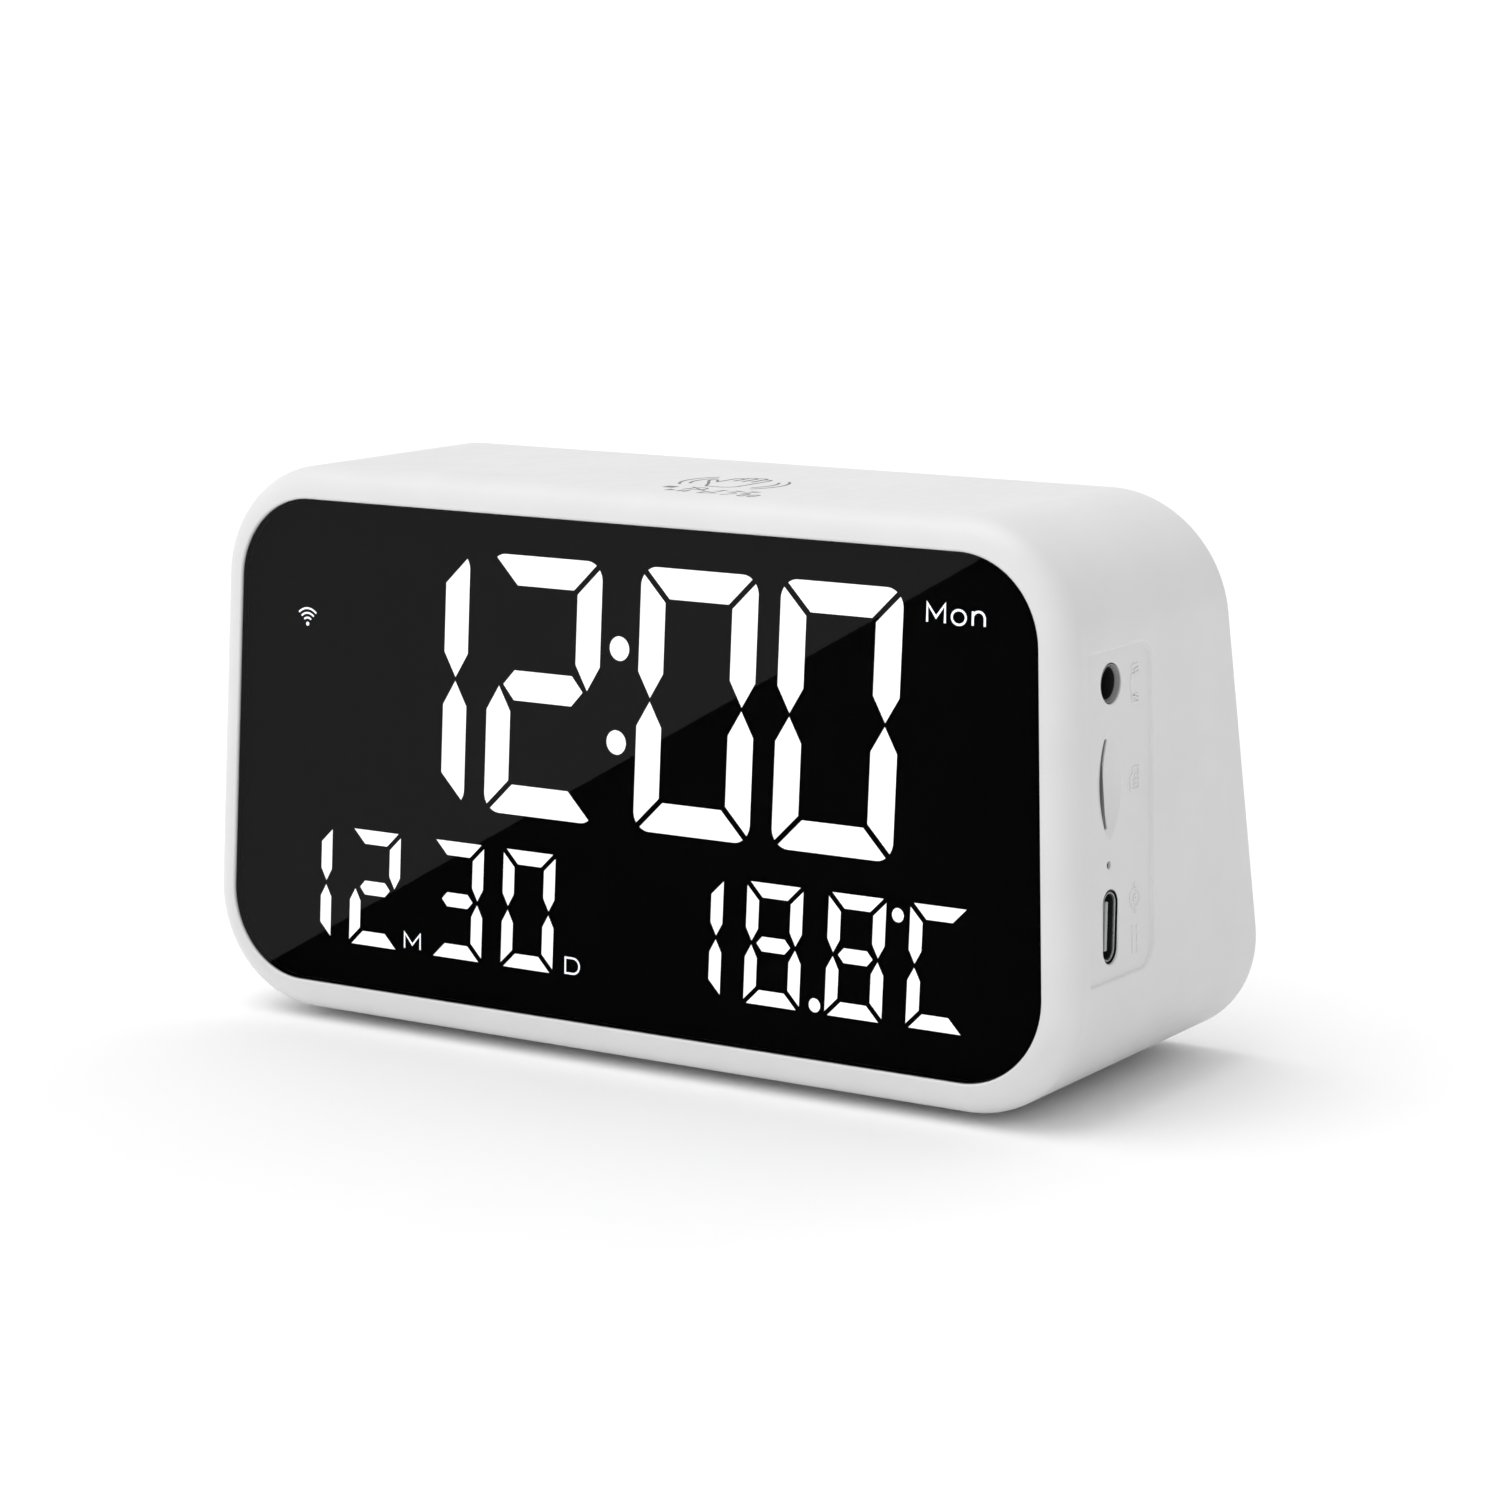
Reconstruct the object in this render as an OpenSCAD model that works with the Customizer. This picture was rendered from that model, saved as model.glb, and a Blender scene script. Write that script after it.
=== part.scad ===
// Bedside alarm clock: a leaning display face in a white rolled-edge case, with
// sockets on its right end, a speaker and five push buttons in its rear cover.
// Origin: bottom centre. +X to the right seen from the front, +Y to the rear, +Z up.

/* [Case] */
// Width of the case at its base
case_w = 140.6; // [138:0.1:160]
// Height of the front face, along its lean
face_h = 76; // [75:0.1:80]
// Depth of the case at its base
base_d = 52.6; // [50:0.1:64]
// Backward lean of the front face
face_lean = 2.6; // [1:0.1:4]
// Forward lean of the rear face
rear_lean = 7.3; // [5:0.1:8]
// Inward lean of the two ends
end_draft = 2.1; // [1:0.1:3]
// Corner radius of the case seen from the front
corner_r = 16.2; // [14:0.1:18]
// Width of the rolled edge round the display
roll_w = 4.4; // [3.8:0.1:5]
// Depth of the rolled edge
roll_d = 4.2; // [3.8:0.1:5]
// Height of the rear face, along its lean
rear_h = 75.4; // [75:0.1:79]
// Rise of the base towards the rear
rear_rise = 0.4; // [0:0.1:0.8]
// Wall thickness of the case
wall = 2.2; // [2:0.1:2.4]

/* [Display] */
// Setback of the lens behind the rolled edge
lens_set = 0.3; // [0.2:0.1:0.4]
// Thickness of the lens
lens_t = 2; // [1.6:0.1:2]
// Width of the ledge behind the lens
ledge_w = 2.2; // [2:0.1:2.4]
// Width of a time digit
time_w = 18.6; // [17:0.1:19]
// Height of a time digit
time_h = 35.1; // [34:0.1:35.4]
// Bar width of a time digit
time_bar = 4.1; // [3.5:0.1:4.6]
// Width of a date or temperature digit
small_w = 8.8; // [8:0.1:9.2]
// Height of a date or temperature digit
small_h = 16.2; // [15:0.1:16.6]
// Bar width of a date or temperature digit
small_bar = 2; // [1.8:0.1:2.6]
// Slant of the digits
slant = 1.7; // [0:0.1:2]

/* [Sockets] */
// Distance of the audio jack's axis behind the face
jack_d = 11.5; // [11.5:0.1:12]
// Height of the audio jack along the face
jack_v = 55.3; // [55:0.1:56]
// Bore of the audio jack
jack_bore = 3.6; // [3.5:0.05:3.7]
// Height of the card slot along the face
card_v = 42.7; // [42:0.1:43]
// Length of the card slot
card_len = 11.4; // [11.2:0.1:11.8]
// Height of the microphone hole along the face
mic_v = 32.5; // [32:0.1:33]
// Height of the power socket along the face
power_v = 24.6; // [24:0.1:25]

/* [Speaker and buttons] */
// Height of the speaker's axis along the rear face
speaker_v = 33; // [32:0.5:34]
// Height of the button row along the rear face
button_v = 65; // [64.5:0.1:65.5]
// Spacing of the buttons
button_pitch = 13; // [12.5:0.1:13]
// Diameter of a button
button_dia = 7.6; // [7:0.1:8]
// How far a button stands out of the rear cover
button_out = 1.2; // [0.8:0.1:1.6]
// Button travel
button_travel = 0.5; // [0.3:0.05:0.6]

/* [Feet] */
// Diameter of a rubber foot
foot_dia = 9; // [7:0.5:11]
// Height that the feet lift the case
foot_lift = 1.2; // [1:0.1:1.6]
// Distance of a foot's axis from the middle of the case
foot_x = 42; // [38:1:46]

/* [Hidden] */
$fn = 48;
eps = 0.02;
fit = 0.1;

// Depths behind the front face
lens_back = lens_set + lens_t;
ledge_front = lens_back + 0.2;
ledge_back = ledge_front + 1.4;
board_front = 7.4;
board_t = 1.6;
board_back = board_front + board_t;
wire_out = board_back + 0.3;
bar_back = 6.2;
bar_gap = 0.65;
led_t = 0.6;
window_inset = roll_w + ledge_w;
lip_trim = 0.06;
block_inset = window_inset + 0.4;
board_inset = wall + 0.5;
recess = 0.4;
recess_low = 17.4;
recess_high = 59.1;
recess_rear = 21.4;
recess_r = 3.3;

// Positions along the rear face, with distances outwards from it
cover_out = -0.3;
cover_t = 2.2;
cover_in = cover_out - cover_t;
cover_inset = wall + 0.15;
post_r = 3.2;
post_len = 12;
post_v = 9.3;
post_edge = 8.6;
flange_out = cover_in - 3;
flange_t = 1.2;
flange_in = flange_out - flange_t;
flange_w = 46;
ear = 19.5;
cone_r = 17;
coil_in = 6.3;
coil_out = 7;
cap_out = flange_out - 5.6;
basket_back = flange_in - 8.5;
magnet_t = 8;
magnet_r = 15;
button_x = [for (i = [-2:2]) i * button_pitch];
button_gap = 0.2;
switch_top = cover_in - 3.5;
switch_h = 3.6;
switch_w = 6;
plunger_up = button_travel + 0.4;
plunger_down = 0.7;
switch_well = button_travel + 1.1;
small_board_out = switch_top - switch_h;
standoff_x = 33.2;
battery_r = 9.2;
battery_len = 65;
battery_x = 46.2;
battery_out = cover_in - 10.6;

// Front upper edge, where the roll meets the flat top, and the fall of the top behind it
top_y = face_h * sin(face_lean) + roll_d * cos(face_lean);
top_z = face_h * cos(face_lean) - roll_d * sin(face_lean);
rear_top_y = base_d - rear_h * sin(rear_lean);
rear_top_z = rear_h * cos(rear_lean) + rear_rise;
top_fall = atan((top_z - rear_top_z) / (rear_top_y - top_y));
// The case's frontmost line is where the roll starts above the base
mid_y = (base_d + roll_w * sin(face_lean)) / 2;
base_z = foot_lift + roll_d * sin(face_lean);

// Digits as [centre, lit bars]; bars are named a to g as on any seven-bar digit
time_v = 48.7;
small_v = 18.35;
hour_digits = [[-34.8, "bc"], [-12.9, "abdeg"]];
minute_digits = [[11.8, "abcdef"], [33.7, "abcdef"]];
date_digits = [[-53.4, "bc"], [-41.4, "abdeg"], [-27.1, "abcdg"], [-15.1, "abcdef"]];
temperature_digits = [[12.1, "bc"], [24.5, "abcdefg"], [37.1, "abcdefg"], [49.4, "adef"]];
colon_at = [[-0.8, 42.55], [-0.4, 55.05]];
colon_r = 1.65;
dot_r = 0.95;
decimal_at = [31, 11.3];
degree_at = [43.4, 24.55];
// Status windows as [centre x, centre height, width, height]
status_at = [[51.2, 63.55, 9, 2.6], [-53.2, 55.2, 4, 3],
    [-34.7, 11.85, 3.6, 2.6], [-7.4, 11.65, 3.2, 2.6]];

function unit(v) = v / norm(v);

function arc(cx, cy, r, from, to, n = 8) =
    [for (i = [0:n]) let (a = from + (to - from) * i / n) [cx + r * cos(a), cy + r * sin(a)]];

// Distance from the middle to an end wall's face at height v
function end_x(v) = case_w / 2 - v * tan(end_draft);

// Outline of the case set in by `inset`, for a face `high` tall
function outline(inset, high) =
    let (r = corner_r - inset,
        low = corner_r,
        top = high - corner_r,
        shift = inset * (1 - tan(end_draft)) + r / cos(end_draft),
        x0 = end_x(low) - shift,
        x1 = end_x(top) - shift)
    concat(arc(x0, low, r, -90, end_draft), arc(x1, top, r, end_draft, 90),
        arc(-x1, top, r, 90, 180 - end_draft), arc(-x0, low, r, 180 - end_draft, 270));

function mirror_x(points) = [for (p = points) [-p[0], p[1]]];
function mirror_v(points) = [for (p = points) [p[0], -p[1]]];

// The seven bars of a digit about its centre, in the order a to g, each grown all round by `grow`
function bars(w, h, bar, gap, grow) =
    let (x = w / 2,
        y = h / 2,
        mitre = 0.7 * gap,
        wide = bar + grow,
        outer = 2.4 * grow - mitre,
        inner = 0.4 * grow - mitre,
        shoulder = 0.8 * bar + gap / 2 - 0.3 * grow,
        tip = gap / 2 - 1.9 * grow,
        nose = 0.95 * bar - 0.5 * grow,
        point = bar / 2 + gap - 1.2 * grow,
        half = bar / 2 + grow,
        top = [[-x - outer, y + grow], [x + outer, y + grow], [x - bar + inner, y - wide],
            [-x + bar - inner, y - wide]],
        side = [[x + grow, y + outer], [x + grow, shoulder], [x - bar / 2, tip], [x - wide, shoulder],
            [x - wide, y - bar + inner]],
        middle = [[-x + point, 0], [-x + nose, half], [x - nose, half], [x - point, 0],
            [x - nose, -half], [-x + nose, -half]])
    [top, side, mirror_v(side), mirror_v(top), mirror_x(mirror_v(side)), mirror_x(side), middle];

// Points on a smooth curve from a to d that leaves towards b and arrives from c
function curve(a, b, c, d, n = 12) =
    [for (i = [0:n]) let (t = i / n, s = 1 - t)
        s * s * s * a + 3 * s * s * t * b + 3 * s * t * t * c + t * t * t * d];

module at_base() {
    translate([0, -mid_y, base_z]) children();
}

// Face frame: X across, Y depth behind the front face, Z height along it
module on_face() {
    at_base() rotate([-face_lean, 0, 0]) children();
}

// Rear frame: X across, Y outwards from the rear face, Z height along it
module on_rear() {
    at_base() translate([0, base_d, rear_rise]) rotate([rear_lean, 0, 0]) children();
}

// End frame: X outwards from the right end, Y depth, Z height along the end
module on_end() {
    at_base() translate([case_w / 2, 0, 0]) rotate([0, -end_draft, 0]) children();
}

module slab(points, from, to) {
    translate([0, to, 0]) rotate([90, 0, 0]) linear_extrude(to - from) polygon(points);
}

module face_slab(inset, from, to) {
    slab(outline(inset, face_h), from, to);
}

module rear_slab(inset, from, to) {
    slab(outline(inset, rear_h), from, to);
}

module bar_along_x(r, from, to) {
    translate([from, 0, 0]) rotate([0, 90, 0]) cylinder(r = r, h = to - from);
}

module disc_along_y(r, from, to) {
    translate([0, to, 0]) rotate([90, 0, 0]) cylinder(r = r, h = to - from);
}

module box(x, y, z) {
    translate([x[0], y[0], z[0]]) cube([x[1] - x[0], y[1] - y[0], z[1] - z[0]]);
}

// Bar of round-ended section, long along Z
module stadium(len, w, from, to) {
    for (s = [-1, 1]) translate([0, 0, s * (len - w) / 2]) bar_along_x(w / 2, from, to);
    box([from, to], [-w / 2, w / 2], [-(len - w) / 2, (len - w) / 2]);
}

// Insulated wire that follows a path
module lead(path, r) {
    sides = 8;
    last = len(path) - 1;
    rings = [for (i = [0:last])
        let (t = unit(path[min(i + 1, last)] - path[max(i - 1, 0)]),
            a = unit(cross(t, [0.13, 0.21, 1])),
            b = cross(t, a))
        for (k = [0:sides - 1]) path[i] + r * (cos(360 * k / sides) * a + sin(360 * k / sides) * b)];
    walls = [for (i = [0:last - 1]) for (k = [0:sides - 1])
        let (n = (k + 1) % sides, near = i * sides, far = near + sides)
        [near + k, far + k, far + n, near + n]];
    ends = [[for (k = [0:sides - 1]) k], [for (k = [sides - 1:-1:0]) last * sides + k]];
    polyhedron(points = rings, faces = concat(walls, ends), convexity = 4);
}

// Screw with its head's underside at Y = 0, pointing along +Y
module screw(head_r, head_t, shank_r, len) {
    difference() {
        disc_along_y(head_r, -head_t, 0);
        box([-head_r * 0.6, head_r * 0.6], [-head_t - 1, -head_t * 0.5], [-0.25, 0.25]);
        box([-0.25, 0.25], [-head_t - 1, -head_t * 0.5], [-head_r * 0.6, head_r * 0.6]);
    }
    disc_along_y(shank_r, 0, len);
}

module cover_screw_place(side, end) {
    v = end < 0 ? post_v : rear_h - post_v;
    translate([side * (end_x(v) - post_edge), 0, v]) children();
}

module cover_screw_places() {
    for (side = [-1, 1]) for (end = [-1, 1]) cover_screw_place(side, end) children();
}

module board_screw_places() {
    for (s = [-1, 1]) for (v = [13, 64]) translate([s * (end_x(v) - 5.1), 0, v]) children();
}

module small_board_screw_places() {
    for (s = [-1, 1]) translate([s * standoff_x, 0, button_v]) children();
}

module speaker_screw_places() {
    for (x = [-ear, ear]) for (v = [-ear, ear]) translate([x, 0, speaker_v + v]) children();
}

module at_speaker() {
    translate([0, 0, speaker_v]) children();
}

// Turns a [radius, distance out of the rear face] profile about the speaker's axis
module turned(profile) {
    rotate([-90, 0, 0]) rotate_extrude($fn = 64) polygon(profile);
}

module digits(list, w, h, bar, v, lit, grow = 0) {
    shapes = bars(w, h, bar, bar_gap, grow);
    for (d = list) for (i = [0:6])
        if ((len(search("abcdefg"[i], d[1])) > 0) == lit)
            translate([d[0], bar_back, v]) rotate([90, 0, 0]) linear_extrude(bar_back - ledge_front)
                polygon([for (p = shapes[i]) [p[0] + p[1] * tan(slant), p[1]]]);
}

module time_bars(list, lit, grow = 0) {
    digits(list, time_w, time_h, time_bar, time_v, lit, grow);
}

module small_bars(list, lit, grow = 0) {
    digits(list, small_w, small_h, small_bar, small_v, lit, grow);
}

module round_window(at, r) {
    translate([at[0], 0, at[1]]) disc_along_y(r, ledge_front, bar_back);
}

module status_boxes(grow, to) {
    for (s = status_at)
        box([s[0] - s[2] / 2 - grow, s[0] + s[2] / 2 + grow], [ledge_front, to],
            [s[1] - s[3] / 2 - grow, s[1] + s[3] / 2 + grow]);
}

module port_recess() {
    from = roll_d + 0.5;
    corners = concat(arc(recess_rear - recess_r, recess_low + recess_r, recess_r, -90, 0, 6),
        arc(recess_rear - recess_r, recess_high - recess_r, recess_r, 0, 90, 6),
        [[from, recess_high], [from, recess_low]]);
    translate([-recess, 0, 0]) rotate([90, 0, 90]) linear_extrude(3)
        polygon([for (p = corners) [p[0] + p[1] * tan(face_lean), p[1]]]);
}

module roll_slice(a) {
    depth = roll_d * (1 - cos(a));
    on_face() face_slab(roll_w * (1 - sin(a)), depth, depth + eps);
}

module case_outside() {
    hull() {
        for (a = [0:18:90]) roll_slice(a);
        on_rear() rear_slab(0, -eps, 0);
    }
}

module case_inside(inset) {
    hull() {
        on_face() face_slab(inset, ledge_back, ledge_back + eps);
        on_rear() rear_slab(inset, 0.5, 0.5 + eps);
    }
}

// Post for a cover screw, with a web that ties it to the corner of the case
module cover_post(side, end) {
    disc_along_y(post_r, cover_in - post_len, cover_in);
    translate([side * 1.9, 0, end * 1.9]) disc_along_y(2.2, cover_in - post_len, cover_in);
}

module housing() color("#ededec") difference() {
    union() {
        difference() {
            case_outside();
            case_inside(wall);
        }
        intersection() {
            case_outside();
            on_rear() for (side = [-1, 1]) for (end = [-1, 1])
                cover_screw_place(side, end) cover_post(side, end);
        }
        on_face() board_screw_places() disc_along_y(2.2, ledge_back - 0.2, board_front);
    }
    on_face() {
        face_slab(roll_w - lip_trim, -1, ledge_front);
        face_slab(window_inset, 0, ledge_back + 1);
        board_screw_places() disc_along_y(0.8, ledge_back, board_front + 1);
        translate([0, jack_d, jack_v]) bar_along_x(2.6, 60, 80);
        translate([0, jack_d - 1, card_v]) box([60, 80], [-0.5, 0.5], [-card_len / 2, card_len / 2]);
        translate([0, jack_d - 0.8, mic_v]) bar_along_x(0.5, 60, 80);
        translate([0, jack_d - 0.5, power_v]) stadium(9.5, 3.8, 60, 80);
    }
    on_rear() cover_screw_places() disc_along_y(1.1, cover_in - 10, cover_in + 1);
    on_end() port_recess();
}

module grille_hole_places() {
    pitch = 4;
    for (ring = [0:4]) for (k = [0:max(6 * ring, 1) - 1])
        rotate([0, 360 * k / max(6 * ring, 1), 0]) translate([ring * pitch, 0, 0]) children();
}

// Plate of the rear cover with the lip that locates it inside the case
module cover_plate() {
    intersection() {
        case_inside(cover_inset);
        on_rear() difference() {
            rear_slab(0, cover_in - 2, cover_out);
            rear_slab(cover_inset + 1.8, cover_in - 3, cover_in);
            for (side = [-1, 1]) for (end = [-1, 1]) cover_screw_place(side, end) {
                disc_along_y(post_r + 0.3, cover_in - 3, cover_in);
                translate([side * 3, 0, end * 3]) disc_along_y(4, cover_in - 3, cover_in);
            }
        }
    }
}

module rear_cover() color("#e8e8e7") difference() {
    union() {
        cover_plate();
        on_rear() small_board_screw_places() disc_along_y(2.2, small_board_out, cover_in);
        on_rear() speaker_screw_places() disc_along_y(2.4, flange_out, cover_in);
    }
    on_rear() {
        cover_screw_places() disc_along_y(1.5, cover_in - 1, cover_out + 1);
        cover_screw_places() disc_along_y(2.8, cover_out - 1.3, cover_out + 1);
        at_speaker() grille_hole_places() disc_along_y(1.1, cover_in - 1, cover_out + 1);
        for (x = button_x) translate([x, 0, button_v])
            disc_along_y(button_dia / 2 + button_gap, cover_in - 1, 1);
        small_board_screw_places() disc_along_y(0.8, small_board_out - 1, small_board_out + 5);
        speaker_screw_places() disc_along_y(0.8, flange_out - 1, cover_in - 0.4);
    }
}

module display_lens() color([0.03, 0.03, 0.035, 0.6]) on_face() {
    face_slab(roll_w + fit, lens_set, lens_back);
}

module lens_adhesive() color("#1c1c1c") on_face() difference() {
    face_slab(roll_w + 2 * fit, lens_back, ledge_front);
    face_slab(window_inset, lens_back - 1, ledge_front + 1);
}

module segment_block() color("#101011") on_face() difference() {
    face_slab(block_inset, ledge_front, board_front);
    for (lit = [true, false]) {
        translate([0, board_front - bar_back, 0]) all_bars(lit);
        all_bars(lit);
    }
    for (at = colon_at)
        translate([at[0], 0, at[1]]) disc_along_y(colon_r + fit, 0, board_front + 1);
    for (at = [decimal_at, degree_at])
        translate([at[0], 0, at[1]]) disc_along_y(dot_r + fit, 0, board_front + 1);
    status_boxes(fit / 2, board_front + 1);
}

module all_bars(lit) {
    time_bars(concat(hour_digits, minute_digits), lit, fit / 2);
    small_bars(concat(date_digits, temperature_digits), lit, fit / 2);
}

module hour_segments() color("#fbfdff") on_face() time_bars(hour_digits, true);

module minute_segments() color("#fbfdff") on_face() time_bars(minute_digits, true);

module colon_dots() color("#fbfdff") on_face() {
    for (at = colon_at) round_window(at, colon_r);
}

module date_segments() color("#fbfdff") on_face() small_bars(date_digits, true);

module temperature_segments() color("#fbfdff") on_face() {
    small_bars(temperature_digits, true);
    for (at = [decimal_at, degree_at]) round_window(at, dot_r);
}

module unlit_segments() color("#17171a") on_face() {
    time_bars(concat(hour_digits, minute_digits), false);
    small_bars(concat(date_digits, temperature_digits), false);
}

module status_windows() color("#f4f6f8") on_face() status_boxes(0, bar_back);

module main_board() color("#1d5b3a") on_face() difference() {
    face_slab(board_inset, board_front, board_back);
    board_screw_places() disc_along_y(1.1, board_front - 1, board_back + 1);
}

// One light source behind each bar, on the front of the board
module bar_leds(list, w, h, bar, v) {
    spots = [[0, h / 2 - bar / 2], [w / 2 - bar / 2, h / 4], [w / 2 - bar / 2, -h / 4],
        [0, -h / 2 + bar / 2], [-w / 2 + bar / 2, -h / 4], [-w / 2 + bar / 2, h / 4], [0, 0]];
    for (d = list) for (s = spots)
        translate([d[0] + s[0], 0, v + s[1]])
            box([-0.8, 0.8], [board_front - led_t, board_front], [-0.5, 0.5]);
}

module segment_leds() color("#f3eecb") on_face() {
    bar_leds(concat(hour_digits, minute_digits), time_w, time_h, time_bar, time_v);
    bar_leds(concat(date_digits, temperature_digits), small_w, small_h, small_bar, small_v);
}

module controller_chip() color("#202022") on_face() {
    box([-16, -6], [board_back, board_back + 1.5], [36, 46]);
}

module amplifier_chip() color("#202022") on_face() {
    box([12, 17], [board_back, board_back + 1.4], [20, 26]);
}

module radio_module() color("#b9bcc0") on_face() {
    box([-52, -34], [board_back, board_back + 2.2], [48, 61]);
}

module power_coil() color("#3a3a3d") on_face() box([34, 40], [board_back, board_back + 3], [20, 26]);

module capacitors() color("#454a55") on_face() {
    for (x = [22, 30]) translate([x, 0, 34]) disc_along_y(3.1, board_back, board_back + 7.5);
}

module temperature_sensor() color("#2a2d33") on_face() translate([-58, board_back, 9]) {
    disc_along_y(1.2, 0, 2.6);
}

module audio_jack() color("#151516") on_face() translate([0, jack_d, jack_v]) {
    nose = end_x(jack_v) - recess - 0.1;
    difference() {
        union() {
            box([53.5, nose - 2.3], [board_back - jack_d, 2.5], [-3, 3]);
            bar_along_x(2.35, nose - 2.4, nose);
        }
        bar_along_x(jack_bore / 2, 55, nose + 1);
        box([56, 60], [1.9, 3], [-1, 1]);
    }
}

module jack_contacts() color("#c8b273") on_face() translate([0, jack_d, jack_v]) {
    box([56.3, 59.7], [2, 2.4], [-0.8, 0.8]);
}

module power_socket_shell() color("#b8babd") on_face() translate([0, jack_d - 0.5, power_v]) {
    mouth = end_x(power_v) - recess - 0.15;
    difference() {
        stadium(8.94, 3.26, mouth - 7.3, mouth);
        stadium(8.34, 2.66, mouth - 6.2, mouth + 1);
    }
}

module power_socket_tongue() color("#17181a") on_face() translate([0, jack_d - 0.5, power_v]) {
    mouth = end_x(power_v) - recess - 0.15;
    box([mouth - 6.2, mouth - 5.4], [-0.9, 0.9], [-3.3, 3.3]);
    box([mouth - 5.4, mouth - 0.6], [-0.35, 0.35], [-3.2, 3.2]);
}

module card_socket() color("#c2c4c7") on_face() translate([0, 0, card_v]) {
    mouth = end_x(card_v + 7) - wall - 0.2;
    difference() {
        box([mouth - 14.5, mouth], [board_back, board_back + 2.3], [-7, 7]);
        box([mouth - 13.5, mouth + 1], [jack_d - 1.45, jack_d - 0.55], [-card_len / 2, card_len / 2]);
    }
}

module microphone() color("#8d8f92") on_face() translate([0, jack_d - 0.5, mic_v]) {
    bar_along_x(1.95, end_x(mic_v) - wall - 2.1, end_x(mic_v) - wall - 0.4);
}

module under_top() {
    at_base() translate([0, top_y, top_z]) rotate([-top_fall, 0, 0]) children();
}

module touch_plate() color("#c98b5a") under_top() box([-30, 30], [5, 22], [-wall - 0.5, -wall - 0.15]);

module touch_lead() color("#3b3f8f") on_face() {
    lead(curve([-24, wire_out, 66], [-24, 14, 66], [-24, 19, 66], [-24, 18, 73.2]), 0.5);
}

module aerial_wire() color("#2d2d30") on_face() {
    lead(curve([-53, wire_out, 58], [-53, 16, 58], [-58, 26, 60], [-58, 32, 40]), 0.5);
}

module at_cell() {
    translate([battery_x, battery_out, (rear_h - battery_len) / 2]) children();
}

module battery_cell() color("#2f6fb0") on_rear() at_cell() cylinder(r = battery_r, h = battery_len);

module battery_cradle() color("#2b2b2d") on_rear() difference() {
    box([battery_x - 10.4, battery_x + 10.4], [battery_out + 2, cover_in],
        [(rear_h - battery_len) / 2 + 8, (rear_h + battery_len) / 2 - 8]);
    at_cell() translate([0, 0, -1]) cylinder(r = battery_r + 0.1, h = battery_len + 2);
}

module battery_leads() color("#b3261e") on_face() {
    lead(curve([30, wire_out, 62], [30, 15, 62], [33, 20, 55], [33, 30, 58]), 0.6);
    lead(curve([27, wire_out, 62], [27, 15, 62], [30.5, 20, 55], [30.5, 30, 58]), 0.6);
}

module speaker_frame() color("#3c3d40") on_rear() {
    difference() {
        at_speaker() union() {
            box([-flange_w / 2, flange_w / 2], [flange_in, flange_out], [-flange_w / 2, flange_w / 2]);
            turned([[19.5, flange_in + 0.2], [21, flange_in + 0.2], [14, basket_back],
                [8.2, basket_back], [8.2, basket_back + 1.2], [13.2, basket_back + 1.2]]);
        }
        at_speaker() disc_along_y(19.3, flange_in - 0.4, flange_out + 1);
        speaker_screw_places() disc_along_y(1.3, flange_in - 1, flange_out + 1);
    }
}

module speaker_magnet() color("#6d6e72") on_rear() at_speaker() {
    back = basket_back - magnet_t;
    gap_out = coil_out + 0.4;
    gap_in = coil_in - 0.4;
    turned([[0, back], [magnet_r, back], [magnet_r, basket_back], [gap_out, basket_back],
        [gap_out, back + 2], [gap_in, back + 2], [gap_in, basket_back], [0, basket_back]]);
}

module speaker_cone() color("#2a2a2c") on_rear() at_speaker() {
    front = flange_out - 1;
    turned([[cone_r, front - 0.5], [cone_r, front], [coil_out, cap_out + 0.6], [coil_out, cap_out]]);
}

module dust_cap() color("#1f1f21") on_rear() at_speaker() {
    rise = 1.6;
    turned(concat([[0, cap_out]],
        [for (a = [0:15:90]) [coil_out * cos(a), cap_out + 0.4 + rise * sin(a)]]));
}

module voice_coil() color("#b4682f") on_rear() at_speaker() {
    tail = basket_back - 3;
    turned([[coil_in, cap_out], [coil_out, cap_out], [coil_out, tail], [coil_in, tail]]);
}

module speaker_surround() color("#1a1a1b") on_rear() at_speaker() {
    base = flange_out - 1;
    centre = (cone_r + 19.2) / 2;
    r = (19.2 - cone_r) / 2 - 0.05;
    turned(concat([for (a = [0:30:180]) [centre + r * cos(a), base + r * sin(a)]],
        [for (a = [180:-30:0]) [centre + (r - 0.4) * cos(a), base + (r - 0.4) * sin(a)]]));
}

module speaker_gasket() color("#262628") on_rear() at_speaker() difference() {
    disc_along_y(21.9, flange_out, cover_in);
    disc_along_y(19.4, flange_out - 1, cover_in + 1);
}

module grille_cloth() color("#141415") on_rear() at_speaker() {
    disc_along_y(19.2, cover_in - 0.4, cover_in);
}

module speaker_leads() color("#1c1c1d") on_face() {
    for (x = [18, 21])
        lead(curve([x, wire_out, 12], [x, 15, 12], [x + 3, 22, 12], [x + 3, 30, 20]), 0.6);
}

module speaker_screws() color("#9a9ca0") on_rear() speaker_screw_places() {
    translate([0, flange_in, 0]) screw(2, 1.2, 0.75, 3.6);
}

module button_board() color("#1d5b3a") on_rear() difference() {
    box([-35.2, 35.2], [small_board_out - board_t, small_board_out], [button_v - 5, button_v + 5]);
    small_board_screw_places() disc_along_y(1.1, small_board_out - board_t - 1, small_board_out + 1);
}

module switch_bodies() color("#2a2b2e") on_rear() for (x = button_x) translate([x, 0, button_v]) {
    difference() {
        box([-switch_w / 2, switch_w / 2], [small_board_out, switch_top], [-switch_w / 2, switch_w / 2]);
        disc_along_y(1.25, switch_top - switch_well, switch_top + 1);
    }
}

module ribbon_wire(x) {
    lead(curve([x, wire_out, 68], [x, 15, 68], [x, 20, 66], [x, 29.5, 66]), 0.5);
}

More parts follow.
